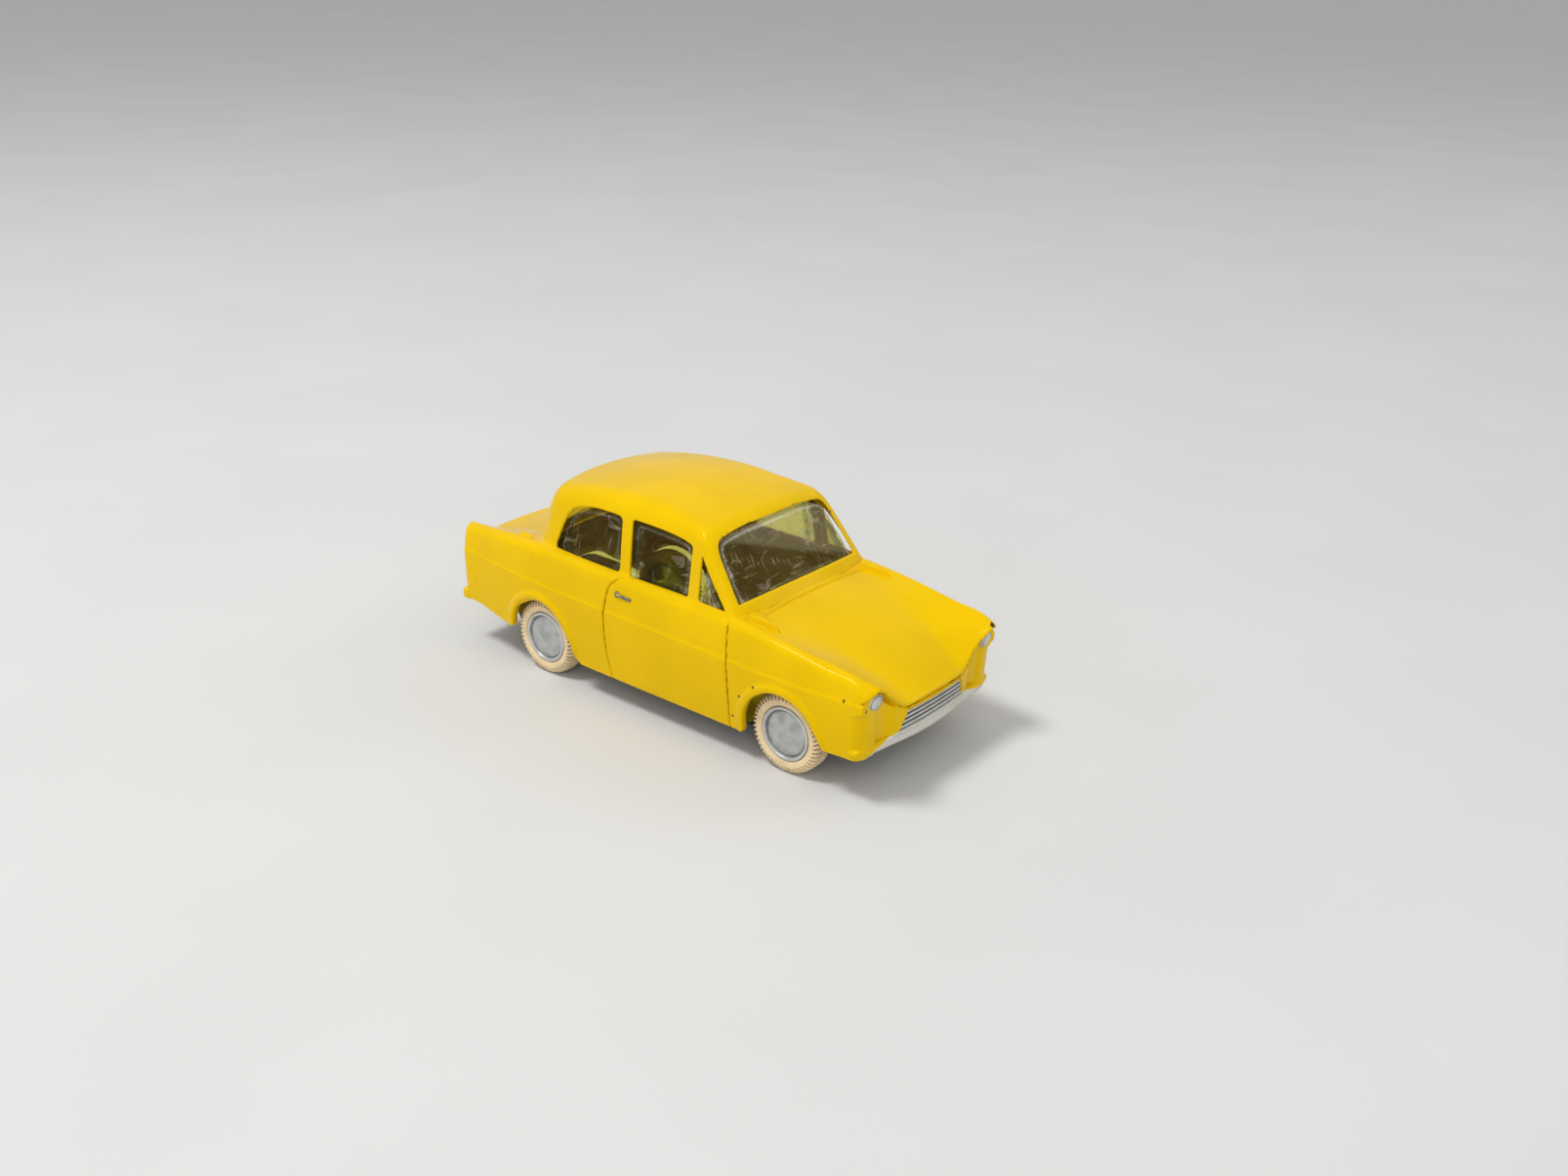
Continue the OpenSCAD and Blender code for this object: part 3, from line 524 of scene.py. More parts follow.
class Finish:
    """A material and the ways that its nodes are made"""

    def __init__(self, name):
        self.material = bpy.data.materials.new(name)
        self.material.use_nodes = True
        self.tree = self.material.node_tree
        self.tree.nodes.clear()

    def node(self, kind, settings=None, inputs=None):
        node = self.tree.nodes.new(kind)
        for key, value in (settings or {}).items():
            setattr(node, key, value)
        for key, value in (inputs or {}).items():
            if isinstance(value, Value):
                value = value.socket
            if isinstance(value, bpy.types.NodeSocket):
                self.tree.links.new(value, node.inputs[key])
            else:
                node.inputs[key].default_value = value
        return node

    def vector(self, operation, inputs):
        return self.node("ShaderNodeVectorMath", {"operation": operation}, inputs).outputs

    def place(self):
        """Position in the frame, in millimetres"""
        here = self.node("ShaderNodeTexCoord").outputs["Object"]
        return self.vector("SCALE", {"Vector": here, "Scale": 1/MM})["Vector"]

    def parts(self, vector):
        out = self.node("ShaderNodeSeparateXYZ", inputs={"Vector": vector}).outputs
        return [Value(self, s) for s in out]

    def noise(self, vector, scale, detail=3.0, rough=0.5):
        node = self.node("ShaderNodeTexNoise", inputs={"Vector": vector, "Scale": scale,
                                                       "Detail": detail, "Roughness": rough})
        return Value(self, node.outputs["Fac"])

    def cells(self, vector, scale):
        node = self.node("ShaderNodeTexVoronoi", inputs={"Vector": vector, "Scale": scale})
        return Value(self, node.outputs["Distance"])

    def ramp(self, value, low, high):
        """Zero at low, one at high, eased between"""
        node = self.node("ShaderNodeMapRange", {"interpolation_type": "SMOOTHSTEP"},
                         {"Value": value, "From Min": low, "From Max": high})
        return Value(self, node.outputs["Result"])

    def mix(self, part, a, b):
        node = self.node("ShaderNodeMix", {"data_type": "RGBA"}, {0: part, 6: a, 7: b})
        return node.outputs[2]

    def stretched(self, vector, factors):
        return self.vector("MULTIPLY", {0: vector, 1: factors})["Vector"]

    def distance(self, vector, point):
        return Value(self, self.vector("DISTANCE", {0: vector, 1: point})["Value"])

    def shaken(self, vector, scale, amount):
        """Positions moved about by noise, so that an outline made from them is ragged"""
        colour = self.node("ShaderNodeTexNoise", inputs={"Vector": vector, "Scale": scale,
                                                         "Detail": 2.0}).outputs["Color"]
        terms = {0: colour, 1: (amount,)*3, 2: (-amount/2,)*3}
        shift = self.vector("MULTIPLY_ADD", terms)["Vector"]
        return self.vector("ADD", {0: vector, 1: shift})["Vector"]

    def marks(self):
        """The colour layer of a mesh: hollows, edges and inside"""
        colour = self.node("ShaderNodeAttribute", {"attribute_name": "marks"}).outputs["Color"]
        out = self.node("ShaderNodeSeparateColor", inputs={"Color": colour}).outputs
        return [Value(self, s) for s in out]

    def bump(self, height):
        """Normal from a height in millimetres"""
        inputs = {"Height": height, "Distance": MM}
        return self.node("ShaderNodeBump", inputs=inputs).outputs["Normal"]

    def blend(self, part, a, b):
        return self.node("ShaderNodeMixShader", inputs={0: part, 1: a, 2: b}).outputs[0]

    def surface(self, colour, rough, height, more=None):
        """A surface bumped by a height in millimetres, with more inputs where given"""
        inputs = {"Base Color": colour, "Roughness": rough, "Normal": self.bump(height)}
        inputs.update(more or {})
        return self.node("ShaderNodeBsdfPrincipled", inputs=inputs).outputs["BSDF"]

    def done(self, shader):
        self.node("ShaderNodeOutputMaterial", inputs={"Surface": shader})
        return self.material


def rgba(colour, shade=1.0):
    return (*(min(1, c*shade) for c in colour), 1.0)


# Chips seen in the paint: place on the casting, in millimetres, and size
CHIPS = ((41.05, 13.85, 17.35, 0.75), (40.35, -15.35, 14.2, 0.45), (21.95, -16.7, 12.35, 0.3),
         (19.25, -16.4, 10.05, 0.32), (17.9, -16.2, 6.4, 0.25), (37.0, -16.3, 15.2, 0.35),
         (39.4, -13.6, 17.75, 0.3), (-2.0, -14.0, 29.7, 0.22), (6.5, -8.0, 31.2, 0.2),
         (9.6, -12.6, 29.4, 0.25), (11.6, 3.0, 29.75, 0.3), (11.2, -6.5, 29.7, 0.35),
         (11.5, -2.0, 29.75, 0.22), (39.9, 16.3, 8.2, 0.35), (40.9, 9.6, 13.4, 0.3),
         (-17.87, -16.17, 17.86, 0.2), (-17.6, -16.15, 18.35, 0.2), (-17.15, -16.1, 18.8, 0.2),
         (-16.56, -16.05, 19.1, 0.2))


def enamel(look):
    f = Finish("yellow_enamel")
    p = f.place()
    x, y, z = f.parts(p)
    hollow, edge, inside = f.marks()
    tone = f.noise(p, 0.09, 2.0)
    fine = f.noise(p, 1.4, 4.0, 0.6)
    specks = f.ramp(f.cells(p, 0.55), 0.055, 0.03)
    colour = f.mix(f.ramp(tone, 0.35, 0.65), rgba(look.paint), rgba(look.paint, 0.93))
    # Hollows are mixed towards the grime colour: partly dirt in the grooves, partly painted shade
    # in creases, grooves and under the lips; less on the cowl lines
    cowl = f.ramp(x, 17.6, 18.0)*f.ramp(z, 19.6, 20.0)
    grime_and_shade = f.ramp(hollow*(0.55 + 0.9*fine), 0.6, 1.0)*(1 - 0.7*cowl)
    colour = f.mix(grime_and_shade*0.8, colour, rgba(look.grime_and_shade))
    worn = f.shaken(p, 1.6, 0.55)
    chips = f.ramp(edge*f.ramp(f.noise(p, 0.75, 4.0, 0.65), 0.60, 0.72), 0.45, 0.6)
    for cx, cy, cz, r in CHIPS:
        chips = chips.larger(f.ramp(f.distance(worn, (cx, cy, cz)), r, r*0.55))
    chips = chips.larger(specks*f.ramp(fine, 0.56, 0.62)*0.8)
    chips = chips*(1 - inside)
    colour = f.mix(chips, colour, rgba(look.chip))
    wavy = z + 0.22*f.noise(p, 0.7, 3.0)
    silver = f.ramp(x, 39.0, 39.3)*f.ramp(abs(y) + 1.6*fine + 0.9*(wavy - 7.4) - 0.04*y, 14.5, 14.0)
    top = 8.75 - 0.45*f.ramp(abs(y), 7.7, 8.9) - 0.9*f.ramp(abs(y), 8.9, 13.8)
    silver = silver*f.ramp(wavy, 6.45, 6.7)*f.ramp(top - wavy, -0.07, 0.07)
    silver = silver*f.ramp(edge*fine, 0.5, 0.4)*(1 - chips)
    colour = f.mix(silver, colour, rgba(look.silver))
    # Painted shade: the inside of the casting is mixed towards a darker paint
    colour = f.mix(inside*0.35, colour, rgba(look.paint, 0.5))
    dust = f.ramp(f.noise(p, 0.25, 5.0, 0.65), 0.5, 0.75)
    rough = 0.13 + 0.14*dust + 0.25*grime_and_shade + 0.3*chips + 0.2*silver + 0.3*inside
    height = f.noise(p, 0.8, 2.0)*0.02 + fine*0.004 - chips*0.03
    gloss = {"Metallic": silver*0.4, "IOR": 1.2, "Specular Tint": rgba(look.sheen)}
    return f.done(f.surface(colour, rough, height, gloss))


def silver_paint(look):
    f = Finish("silver_paint")
    p = f.place()
    hollow, edge, _ = f.marks()
    flake = f.noise(p, 6.0, 2.0)
    stain = f.noise(p, 0.8, 4.0, 0.6)
    colour = f.mix(f.ramp(stain, 0.3, 0.75), rgba(look.silver), rgba(look.silver, 0.8))
    # Painted shade: hollows go nearly black, in the troughs of the grille and the ring inside the
    # lamp rims
    colour = f.mix(hollow, colour, (0.03, 0.03, 0.028, 1))
    colour = f.mix(f.ramp(edge*stain, 0.4, 0.6)*0.4, colour, rgba(look.silver, 1.25))
    rough = 0.34 + 0.2*stain + 0.3*hollow
    height = flake*0.008 + stain*0.01
    return f.done(f.surface(colour, rough, height, {"Metallic": 0.45 - 0.4*hollow}))


def clear_plastic(look):
    f = Finish("clear_plastic")
    p = f.place()
    dust = f.ramp(f.noise(p, 0.35, 6.0, 0.7), 0.48, 0.8)
    specks = f.ramp(f.cells(p, 0.9), 0.09, 0.05)*f.ramp(f.noise(p, 0.3, 2.0), 0.45, 0.6)
    bent = f.shaken(p, 0.12, 3.0)
    across = f.ramp(f.noise(f.stretched(bent, (0.16, 2.6, 0.4)), 1.0, 1.0), 0.64, 0.68)
    along = f.ramp(f.noise(f.stretched(bent, (2.4, 0.3, 0.2)), 1.0, 1.0), 0.65, 0.69)
    marks = across.larger(along).larger(specks)
    rim = f.marks()[0]
    x, y, z = f.parts(p)
    # A faint haze all over, and a painted reflection: a lighter film over the upper part of the
    # windscreen
    haze_and_reflection = f.ramp(x, 5.0, 9.0)*(0.01 + 0.24*f.ramp(z + 0.32*y, 25.4, 26.3))*(0.5 + dust)
    # Painted highlight along the raised edge of each pane, made uneven by noise
    painted_rim_highlight = rim*(0.15 + 0.4*f.ramp(x, 5.0, 9.0))*(0.3 + 0.8*f.noise(p, 0.5, 3.0))
    # The film mixes in dust, scratches, the painted reflection and the painted rim highlight
    film_and_painted_light = 0.008 + 0.04*dust + haze_and_reflection + 0.5*marks*(0.3 + dust) + painted_rim_highlight
    clear = f.node("ShaderNodeBsdfTransparent", inputs={"Color": rgba(look.tint)}).outputs["BSDF"]
    # Painted highlight: along the step of each pane the film turns nearly white
    colour = f.mix(rim, rgba(look.dust), (0.85, 0.83, 0.76, 1))
    dust_and_highlight = f.surface(colour, 0.5, marks*0.01 + dust*0.005)
    height = f.noise(p, 0.25, 2.0)*0.05 + marks*0.006
    gloss = f.surface((0.02, 0.02, 0.02, 1), 0.06, height, {"Specular IOR Level": 0.5})
    facing = Value(f, f.node("ShaderNodeLayerWeight", inputs={"Blend": 0.5}).outputs["Facing"])
    square = facing*facing
    shine = 0.025 + 0.7*(square*square*facing)
    return f.done(f.blend(shine, f.blend(film_and_painted_light.smaller(0.6), clear, dust_and_highlight), gloss))


def cream_rubber(look):
    f = Finish("cream_rubber")
    p = f.place()
    hollow, edge, _ = f.marks()
    soil = f.noise(p, 0.5, 5.0, 0.65)
    grain = f.noise(p, 5.0, 3.0)
    colour = f.mix(f.ramp(soil, 0.4, 0.75), rgba(look.rubber), rgba(look.rubber, 0.78))
    # The gaps between the lugs darken towards the soil colour: dirt, and painted shade
    colour = f.mix(hollow*0.8, colour, rgba(look.soil))
    colour = f.mix(f.ramp(edge*soil, 0.45, 0.7)*0.35, colour, rgba(look.soil))
    specks = f.ramp(f.cells(p, 0.8), 0.12, 0.05)*f.ramp(grain, 0.5, 0.6)
    colour = f.mix(specks*0.6, colour, rgba(look.soil))
    height = grain*0.012 + soil*0.02
    return f.done(f.surface(colour, 0.62 + 0.2*soil, height, {"Specular IOR Level": 0.35}))


def hub_metal(look):
    f = Finish("hub_metal")
    p = f.place()
    hollow, edge, _ = f.marks()
    dull = f.noise(p, 0.55, 5.0, 0.6)
    pits = f.ramp(f.cells(p, 1.6), 0.12, 0.05)
    grain = f.noise(f.stretched(p, (1.0, 8.0, 1.0)), 4.0, 3.0)
    colour = f.mix(f.ramp(dull, 0.35, 0.7), rgba(look.metal), rgba(look.metal, 0.72))
    # Painted shade: the groove inside the rim is darkened
    colour = f.mix(hollow*0.6, colour, (0.07, 0.07, 0.07, 1))
    # Painted highlight: the rim's edge is lightened
    colour = f.mix(edge*0.5, colour, rgba(look.metal, 1.35))
    rough = 0.36 + 0.22*dull + 0.2*hollow
    height = grain*0.006 + dull*0.02 - pits*0.02
    return f.done(f.surface(colour, rough, height, {"Metallic": 0.8 - 0.4*hollow}))


def blackened_tin(look):
    f = Finish("blackened_tin")
    p = f.place()
    rub = f.ramp(f.noise(p, 0.35, 6.0, 0.7), 0.55, 0.75)
    dust = f.noise(p, 0.12, 4.0, 0.6)
    scratch = f.ramp(f.noise(f.stretched(p, (0.12, 3.0, 1.0)), 1.0, 2.0), 0.68, 0.72)
    colour = f.mix(f.ramp(dust, 0.45, 0.8), rgba(look.black), rgba(look.dust))
    # Bare tin and painted light: the upper side of the base, inside the car, takes a yellow
    # standing for light thrown back from the yellow walls
    upward = f.parts(f.node("ShaderNodeNewGeometry").outputs["Normal"])[2]
    colour = f.mix(f.ramp(upward, 0.3, 0.6), colour, rgba(look.bare_and_bounce))
    colour = f.mix((scratch*rub)*0.8, colour, (0.35, 0.35, 0.34, 1))
    rough = 0.42 + 0.25*dust - 0.1*rub
    height = f.noise(p, 1.2, 3.0)*0.03 - scratch*0.01
    return f.done(f.surface(colour, rough, height, {"Metallic": scratch*rub*0.8}))


def drawn_steel(look):
    f = Finish("bright_metal")
    p = f.place()
    lines = f.noise(f.stretched(p, (6.0, 0.3, 6.0)), 1.0, 3.0)
    stain = f.ramp(f.noise(p, 0.6, 5.0, 0.6), 0.45, 0.75)
    colour = f.mix(stain, rgba(look.metal), rgba(look.metal, 0.55))
    rough = 0.28 + 0.12*lines + 0.25*stain
    return f.done(f.surface(colour, rough, lines*0.008, {"Metallic": 0.9 - 0.2*stain}))


def worn_metal(look):
    f = Finish("worn_handle")
    p = f.place()
    stain = f.noise(p, 1.8, 4.0, 0.65)
    left = f.ramp(stain, 0.56, 0.64)
    colour = f.mix(f.ramp(stain, 0.3, 0.6), (0.33, 0.31, 0.26, 1), (0.12, 0.11, 0.09, 1))
    colour = f.mix(left, colour, rgba(look.paint))
    rough = 0.35 + 0.3*stain
    return f.done(f.surface(colour, rough, stain*0.05, {"Metallic": 0.75 - 0.75*left}))


class CastingLook(PropertyGroup):
    wall: FloatProperty(
        name="Wall", description="Thickness of the casting in millimetres", default=1.2)
    lip: FloatProperty(name="Lip", description="Edge of the openings in millimetres", default=0.3)
    crease: FloatProperty(
        name="Crease", description="Step of the waist crease in millimetres", default=0.17)
    groove_w: FloatProperty(
        name="Groove width", description="Half width of the door lines in millimetres",
        default=0.15)
    groove_d: FloatProperty(
        name="Groove depth", description="Depth of the door lines in millimetres", default=0.3)
    paint: FloatVectorProperty(
        name="Paint", description="Colour of the enamel", subtype="COLOR",
        default=(0.82, 0.52, 0.002))
    sheen: FloatVectorProperty(
        name="Sheen", description="Colour of the enamel's gloss", subtype="COLOR",
        default=(1.0, 0.8, 0.25))
    # Grime and shade: colour of dirt in the grooves, also used as painted shade in the hollows of
    # the casting
    grime_and_shade: FloatVectorProperty(
        name="Grime", description="Colour of dirt in the grooves", subtype="COLOR",
        default=(0.09, 0.05, 0.006))
    chip: FloatVectorProperty(
        name="Chips", description="Colour of the metal where paint is gone", subtype="COLOR",
        default=(0.035, 0.03, 0.024))
    silver: FloatVectorProperty(
        name="Silver", description="Colour of the silver paint", subtype="COLOR",
        default=(0.66, 0.66, 0.62))


class GlazingLook(PropertyGroup):
    tint: FloatVectorProperty(
        name="Tint", description="Colour of light through the moulding", subtype="COLOR",
        default=(0.94, 0.93, 0.62))
    # Dust: colour of the dust film, also taken by the painted reflection on the windscreen
    dust: FloatVectorProperty(
        name="Dust", description="Colour of the dust film", subtype="COLOR",
        default=(0.46, 0.42, 0.3))


class WheelLook(PropertyGroup):
    lugs: IntProperty(name="Lugs", description="Number of lugs round a tyre", default=50)
    lug_d: FloatProperty(
        name="Lug depth", description="Depth between lugs in millimetres", default=0.42)
    rubber: FloatVectorProperty(
        name="Rubber", description="Colour of the tyres", subtype="COLOR",
        default=(0.79, 0.62, 0.37))
    # Soil: dirt on the tyres, also painted shade in the gaps between the lugs
    soil: FloatVectorProperty(
        name="Soil", description="Colour of dirt between the lugs", subtype="COLOR",
        default=(0.32, 0.24, 0.13))
    metal: FloatVectorProperty(
        name="Metal", description="Colour of the hubs", subtype="COLOR", default=(0.56, 0.57, 0.57))


class BaseLook(PropertyGroup):
    black: FloatVectorProperty(
        name="Black", description="Colour of the base", subtype="COLOR", default=(0.02, 0.02, 0.02))
    dust: FloatVectorProperty(
        name="Dust", description="Colour of dust on the base", subtype="COLOR",
        default=(0.09, 0.085, 0.075))
    # Bare and bounce: bare tin on the upper side of the base, coloured as painted yellow light from
    # the walls inside
    bare_and_bounce: FloatVectorProperty(
        name="Bare", description="Colour of the base inside the car", subtype="COLOR",
        default=(0.6, 0.5, 0.02))
    metal: FloatVectorProperty(
        name="Steel", description="Colour of rivets and axles", subtype="COLOR",
        default=(0.55, 0.55, 0.54))


# Studio lamps: name, place and size in metres, power in watts
LAMPS = (("key", (-0.2, -0.3, 0.75), (0.24, 0.17), 3.6),
         ("fill", (0.5, -0.7, 0.4), (0.6, 0.6), 2.0), ("far", (0.55, 0.6, 0.55), (0.35, 0.35), 0.8))
LAMP_AIM = (0, 0, 0.015)
# Half width of the floor in millimetres
FLOOR_REACH = 9000.0


class StageLook(PropertyGroup):
    sky: FloatProperty(name="Sky", description="Strength of the light from all round", default=0.54)
    floor: FloatVectorProperty(
        name="Floor", description="Colour of the floor", subtype="COLOR",
        default=(0.68, 0.68, 0.67))
    lens: FloatProperty(name="Lens", description="Focal length in millimetres", default=36.372)
    eye: FloatVectorProperty(
        name="Camera", description="Place of the camera", subtype="TRANSLATION", unit="LENGTH",
        default=(0.146131, -0.166332, 0.109526))
    aim: FloatVectorProperty(
        name="Aim", description="Turn, tilt and roll of the camera", subtype="EULER",
        unit="ROTATION", default=(math.radians(38.545), math.radians(22.938), math.radians(1.358)))


def wear_marks(field, points, normals, inside):
    """Colour layer with the hollows and edges of a surface, found from its field"""
    reach = 0.3
    up = field(*(points + reach*normals).T)
    down = field(*(points - 0.2*normals).T)
    hollow = np.clip((0.82*reach - up)/(0.5*reach), 0, 1)
    edge = np.clip((down + 0.17)/0.1, 0, 1)
    return layer(hollow, edge, inside)


class TOYCAR_OT_casting(Operator):
    """Builds the painted casting and what is cast and painted with it"""
    bl_idname = "toycar.casting"
    bl_label = "Casting"

    def execute(self, context):
        look = context.scene.toycar_casting
        shape = Casting(look)
        axes = (
            grid_line(((-41.9, None), (-39.4, 0.2), (-20.4, 0.36), (-18.6, 0.25), (-7.7, 0.36),
                       (-3.2, 0.13), (7.2, 0.36), (9.8, 0.2), (16.0, 0.26), (17.4, 0.13),
                       (24.6, 0.17), (38.2, 0.34), (41.9, 0.16))),
            grid_line(((-17.3, None), (-11.8, 0.2), (11.8, 0.36), (17.3, 0.2))),
            grid_line(((3.7, None), (6.4, 0.3), (12.6, 0.22), (14.6, 0.3), (16.4, 0.14),
                       (20.3, 0.3), (22.8, 0.16), (28.4, 0.34), (30.8, 0.2), (33.3, 0.3))))
        points, faces, normals = skin_of(shape.field, axes)
        depth = shape.outside(*points.T)
        # How far a point lies inside the casting, which the enamel darkens as painted shade
        marks = wear_marks(shape.field, points, normals, ease((-depth - 0.4)/0.5))
        body = mesh_object("casting", points, faces, enamel(look), marks, normals)
        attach(body, "car")
        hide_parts("body_shell")
        silver = silver_paint(look)
        self.grille(shape, silver)
        handle = worn_metal(look)
        for side, s in SIDES.items():
            self.lamp(side, s, silver)
            self.handle(shape, side, s, handle)
        return {"FINISHED"}

    def grille(self, shape, finish):
        """Thin rounded bars in the grille opening, with painted shade on the ground between them"""
        z0, z1 = GRILLE_Z
        across = np.linspace(-1, 1, 49)
        rows, marks = [], []
        steps = 8
        for i in range(GRILLE_BARS*steps + 1):
            z = z0 + (z1 - z0)*i/(GRILLE_BARS*steps)
            half = np.interp(z, GRILLE_Z, GRILLE_HALF) + 0.05
            y = across*half
            round_up = abs(math.sin(math.pi*i/steps))**0.7
            x = shape.face_x(np.abs(y), z) - 0.6 + 0.57*round_up
            rows.append(np.stack([x, y, np.full_like(y, z)], 1))
            # Troughs between the bars are marked hollow, which the silver paint turns into painted
            # shade
            marks.append(np.full(len(y), min(1, max(0, 2.4 - 2.6*round_up))))
        rows = np.array(rows)
        n, m = rows.shape[:2]
        i, j = np.meshgrid(np.arange(n - 1), np.arange(m - 1), indexing="ij")
        low = i*m + j
        faces = np.stack([low, low + 1, low + m + 1, low + m], -1).reshape(-1, 4)
        hollow = np.concatenate(marks)
        piece = mesh_object("grille_bars", rows.reshape(-1, 3), faces, finish, layer(hollow))
        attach(piece, "car")

    def lamp(self, side, s, finish):
        """A domed headlamp with a rolled rim under the tip of the fender"""
        x0, y0, z0 = LAMP
        r = np.array([0.0, 0.25, 0.5, 0.7, 0.82, 0.88, 0.94, 1.0, 1.02, 1.0])
        up = np.array([0.42, 0.4, 0.32, 0.2, 0.1, 0.08, 0.14, 0.1, -0.1, -1.6])
        turn = circle(48)
        rings = []
        for radius, height in zip(r, up):
            y = LAMP_HALF[0]*max(radius, 0.01)*np.cos(turn)
            z = LAMP_HALF[1]*max(radius, 0.01)*np.sin(turn)
            rings.append(np.stack([x0 + height + 0.2*z - 0.1*y, s*(y0 + y), z0 + z], 1))
        points, faces = swept(rings, s > 0)
        # The ring inside the rim is marked hollow, which the silver paint turns into painted shade
        hollow = np.repeat(np.where((r > 0.8) & (r < 0.93), 0.7, 0.0), len(turn))
        piece = mesh_object("headlamp_" + side, points, faces, finish, layer(hollow))
        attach(piece, "car")

    def handle(self, shape, side, s, finish):
        """A worn door handle, thicker at its rear end"""
        x0, z0 = HANDLE
        turn = circle(20)
        rings = []
        for t in np.linspace(0, 1, 26):
            end = math.sqrt(max(0.0, 1 - (2*t - 1)**8))
            r = (0.28*math.exp(-((t - 0.1)/0.12)**2) + 0.27)*max(end, 0.03)
            x = x0 + HANDLE_LONG*t
            z = z0 - 0.2*t
            y = shape.side_y(x, z) + 0.06 + 0.12*math.sin(math.pi*t)
            rings.append(np.stack([np.full_like(turn, x), s*(y + 0.8*r*np.cos(turn)),
                                   z + r*np.sin(turn)], 1))
        points, faces = swept(rings, s < 0)
        piece = mesh_object("door_handle_" + side, points, faces, finish)
        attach(piece, "car")


class TOYCAR_OT_glazing(Operator):
    """Builds the clear moulding behind the window openings"""
    bl_idname = "toycar.glazing"
    bl_label = "Glazing"

    def execute(self, context):
        shape = Casting(context.scene.toycar_casting)
        axes = (grid_line(((-28, None), (19.6, 0.34))), grid_line(((-15.5, None), (15.5, 0.34))),
                grid_line(((18.5, None), (32.8, 0.34))))
        points, faces, normals = skin_of(shape.glass, axes)
        depth = -shape.cabin(points[:, 0], np.abs(points[:, 1]), points[:, 2])
        # The step of each pane, where the clear finish paints a highlight
        step = bell(shape.pads(*points.T) + 0.85, 0.15)*(depth < 1.25)
        finish = clear_plastic(context.scene.toycar_glazing)
        piece = mesh_object("glazing", points, faces, finish, layer(step), normals)
        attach(piece, "car")
        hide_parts("window_glazing")
        return {"FINISHED"}


def wheel_rings(profile, turns, end, s, shift=None):
    """Rings of a turned wheel piece from (radius, depth) points, on the axle of one end and side"""
    angle = circle(turns)
    rings = []
    for row, (r, d) in enumerate(profile):
        radius = np.full(turns, r)
        depth = np.full(turns, d)
        if shift is not None:
            radius, depth = shift(row, radius, depth)
        rings.append(np.stack([AXLE_X[end] + radius*np.cos(angle), s*(TRACK/2 - depth),
                               WHEEL_Z + radius*np.sin(angle)], 1))
    return swept(rings, s < 0)


def rounded(points, n=3):
    """A profile with its corners cut smaller and smaller, which keeps its ends"""
    p = np.array(points, float)
    for _ in range(n):
        q = np.empty((2*len(p), 2))
        q[0], q[-1] = p[0], p[-1]
        q[1:-1:2] = 0.75*p[:-1] + 0.25*p[1:]
        q[2:-1:2] = 0.25*p[:-1] + 0.75*p[1:]
        p = q
    return p


class TOYCAR_OT_hubs(Operator):
    """Builds the four metal hubs with raised rims and a dished groove"""
    bl_idname = "toycar.hubs"
    bl_label = "Hubs"

    def execute(self, context):
        finish = hub_metal(context.scene.toycar_wheels)
        r = HUB_R
        face = rounded(((0.02, 0.1), (1.6, 0.14), (2.6, 0.22), (3.2, 0.32), (3.34, 0.5),
                        (3.44, 0.5), (3.52, 0.14), (3.62, 0.0), (3.9, 0.0), (r, 0.14), (r, 0.7)))
        back = ((r - 0.7, 0.7), (r - 0.7, 2.8), (r - 0.1, 2.8), (r - 0.1, 3.3), (1.6, 3.3),
                (1.6, 5.35), (0.9, 5.35))
        profile = np.concatenate([face, back])
        # The groove inside the rim, darkened by the hub metal as painted shade
        hollow = bell(profile[:, 0] - 3.39, 0.09)*(profile[:, 1] < 0.8)
        # The rim's edge, lightened by the hub metal as a painted highlight
        edge = bell(profile[:, 0] - 3.78, 0.2)*(profile[:, 1] < 0.3)
        turns = 128
        marks = np.repeat(layer(hollow, edge), turns, 0)
        for end, side, s in CORNERS:
            points, faces = wheel_rings(profile, turns, end, s)
            piece = mesh_object("hub_%s_%s_turned" % (end, side), points, faces, finish, marks)
            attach(piece, end + "_wheels")
            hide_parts("hub_%s_%s" % (end, side))
        return {"FINISHED"}


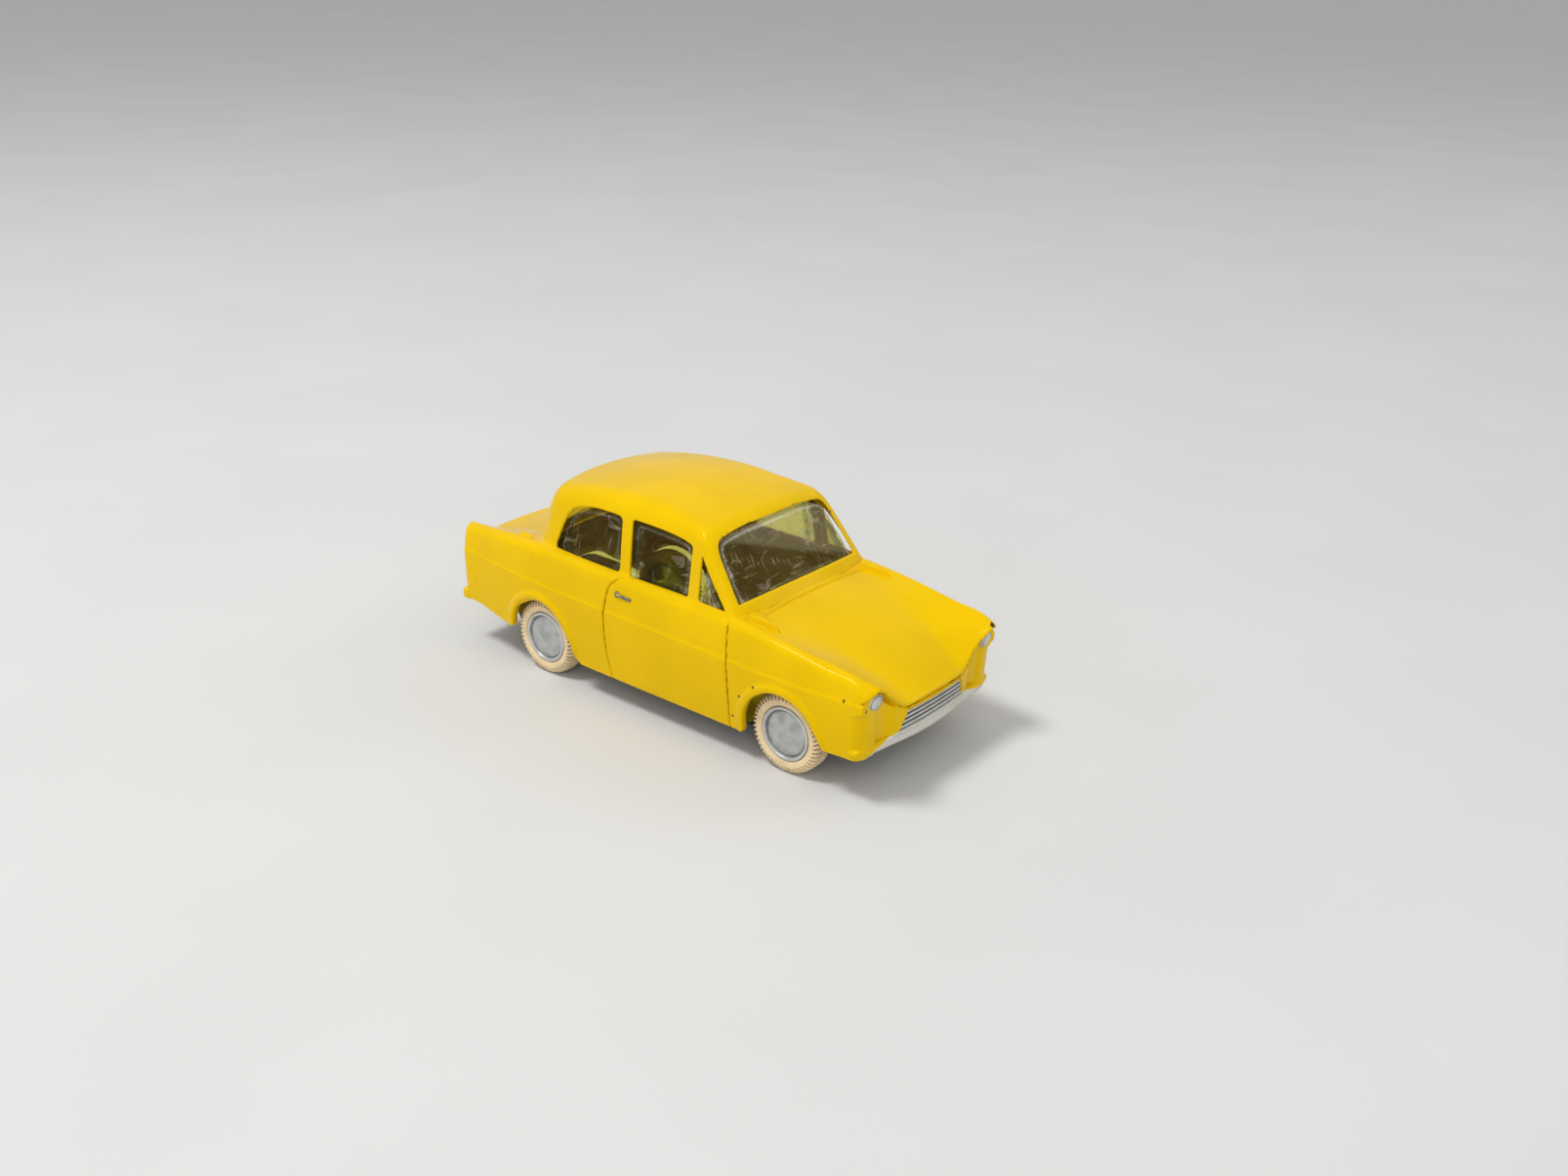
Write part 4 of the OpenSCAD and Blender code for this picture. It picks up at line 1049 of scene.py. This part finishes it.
class TOYCAR_OT_tyres(Operator):
    """Builds the four tyres with slanted lugs over their shoulders"""
    bl_idname = "toycar.tyres"
    bl_label = "Tyres"

    def execute(self, context):
        look = context.scene.toycar_wheels
        finish = cream_rubber(look)
        r = TYRE_R
        lip = HUB_R + 0.03
        half = rounded(((lip, 0.9), (lip, 0.3), (lip + 0.12, 0.06), (lip + 0.45, -0.06),
                        (r - 1.05, -0.1), (r - 0.6, -0.02), (r - 0.22, 0.25), (r - 0.02, 0.75),
                        (r, 1.25), (r, 1.75)))
        other = half[::-1].copy()
        other[:, 1] = 3.5 - other[:, 1]
        profile = np.concatenate([half, other])
        along = np.concatenate([np.linspace(0, 1, len(half)), np.linspace(1, 0, len(half))])
        lugged = ease((profile[:, 0] - (r - 1.0))/0.3)
        way = np.repeat((1, -1), len(half))
        turns = look.lugs*10
        angle = circle(turns)

        def gap(row):
            """How deep the gap between lugs is round a ring"""
            slant = 2.4*(1 - along[row])*way[row]
            wave = np.cos(look.lugs*angle + slant*5)
            return lugged[row]*ease((wave + 0.15)/0.75)

        def shift(row, radius, depth):
            """Radius and depth of a ring with the gaps between lugs cut into it"""
            g = gap(row)*look.lug_d
            tilt = ease((profile[row, 0] - (r - 0.9))/0.8)
            return radius - g*(0.35 + 0.65*tilt), depth + g*(1 - 0.75*tilt)*way[row]

        # Gaps between the lugs, which the rubber darkens as dirt and painted shade
        hollow = np.concatenate([gap(row) for row in range(len(profile))])
        marks = layer(hollow, np.repeat(lugged, turns))
        for end, side, s in CORNERS:
            points, faces = wheel_rings(profile, turns, end, s, shift)
            piece = mesh_object("tyre_%s_%s_lugged" % (end, side), points, faces, finish, marks)
            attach(piece, end + "_wheels")
            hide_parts("tyre_%s_%s" % (end, side))
        return {"FINISHED"}


class TOYCAR_OT_base(Operator):
    """Finishes the base plate, rivets and axles"""
    bl_idname = "toycar.base"
    bl_label = "Base"

    def execute(self, context):
        look = context.scene.toycar_base
        tin = blackened_tin(look)
        steel = drawn_steel(look)
        finishes = {"baseplate": tin, "front_rivet": steel, "rear_rivet": steel,
                    "front_axle": steel, "rear_axle": steel}
        for node, finish in finishes.items():
            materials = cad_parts[node].data.materials
            if not materials:
                materials.append(finish)
            for i in range(len(materials)):
                materials[i] = finish
        return {"FINISHED"}


class TOYCAR_OT_stage(Operator):
    """Sets up the floor, the studio light and the camera"""
    bl_idname = "toycar.stage"
    bl_label = "Stage"

    def execute(self, context):
        look = context.scene.toycar_stage
        self.floor(look)
        self.lights(context, look)
        self.camera(context, look)
        context.scene.view_settings.view_transform = "Standard"
        return {"FINISHED"}

    def floor(self, look):
        """A wide flat floor, pale and a little uneven in tone"""
        points = FLOOR_REACH*np.array([(-1, -1, 0), (1, -1, 0), (1, 1, 0), (-1, 1, 0)])
        f = Finish("studio_floor")
        p = f.place()
        tone = f.ramp(f.noise(p, 0.02, 4.0), 0.3, 0.7)
        colour = f.mix(tone, rgba(look.floor), rgba(look.floor, 0.97))
        height = f.noise(p, 1.5, 3.0)*0.02
        finish = f.done(f.surface(colour, 0.8, height, {"Specular IOR Level": 0.2}))
        floor = mesh_object("studio_floor", points, [(0, 1, 2, 3)], finish)

    def lights(self, context, look):
        """Even light from all round and three soft lamps aimed at the car"""
        world = bpy.data.worlds.new("studio")
        world.use_nodes = True
        sky = world.node_tree.nodes["Background"].inputs
        sky["Color"].default_value = (1, 1, 1, 1)
        sky["Strength"].default_value = look.sky
        context.scene.world = world
        for name, place, size, power in LAMPS:
            data = bpy.data.lights.new(name, "AREA")
            data.shape = "RECTANGLE"
            data.size, data.size_y = size
            data.energy = power
            lamp = bpy.data.objects.new(name, data)
            lamp.location = place
            aim = Vector(LAMP_AIM) - Vector(place)
            lamp.rotation_euler = aim.to_track_quat("-Z", "Y").to_euler()
            context.scene.collection.objects.link(lamp)

    def camera(self, context, look):
        """A camera at the place and turn of the look"""
        turn, tilt, roll = look.aim
        flat = math.cos(tilt)
        back = Vector((math.sin(turn)*flat, -math.cos(turn)*flat, math.sin(tilt)))
        right = (-back).cross(Vector((0, 0, 1))).normalized()
        up = right.cross(-back)
        across = math.cos(roll)*right + math.sin(roll)*up
        above = math.cos(roll)*up - math.sin(roll)*right
        data = bpy.data.cameras.new("camera")
        data.sensor_fit = "HORIZONTAL"
        data.sensor_width = 36.0
        data.lens = look.lens
        data.clip_start = 0.01
        data.clip_end = 20
        camera = bpy.data.objects.new("camera", data)
        turned = Matrix((across, above, back)).transposed().to_4x4()
        camera.matrix_world = Matrix.Translation(Vector(look.eye)) @ turned
        context.scene.collection.objects.link(camera)
        context.scene.camera = camera


class TOYCAR_PT_panel(Panel):
    """Lists the pieces of the car"""
    bl_label = "Toy car"
    bl_idname = "TOYCAR_PT_panel"
    bl_space_type = "VIEW_3D"
    bl_region_type = "UI"
    bl_category = "Toy car"

    def draw(self, context):
        for operator in OPERATORS:
            self.layout.operator(operator.bl_idname)


GROUPS = {"toycar_casting": CastingLook, "toycar_glazing": GlazingLook, "toycar_wheels": WheelLook,
          "toycar_base": BaseLook, "toycar_stage": StageLook}
OPERATORS = (TOYCAR_OT_stage, TOYCAR_OT_casting, TOYCAR_OT_glazing, TOYCAR_OT_hubs, TOYCAR_OT_tyres,
             TOYCAR_OT_base)


def register():
    for name, group in GROUPS.items():
        bpy.utils.register_class(group)
        setattr(bpy.types.Scene, name, PointerProperty(type=group))
    for operator in OPERATORS:
        bpy.utils.register_class(operator)
    bpy.utils.register_class(TOYCAR_PT_panel)


def unregister():
    bpy.utils.unregister_class(TOYCAR_PT_panel)
    for operator in reversed(OPERATORS):
        bpy.utils.unregister_class(operator)
    for name, group in GROUPS.items():
        delattr(bpy.types.Scene, name)
        bpy.utils.unregister_class(group)


def main():
    register()
    for operator in (bpy.ops.toycar.stage, bpy.ops.toycar.casting, bpy.ops.toycar.glazing,
                     bpy.ops.toycar.hubs, bpy.ops.toycar.tyres, bpy.ops.toycar.base):
        operator()


if __name__ == "__main__":
    main()
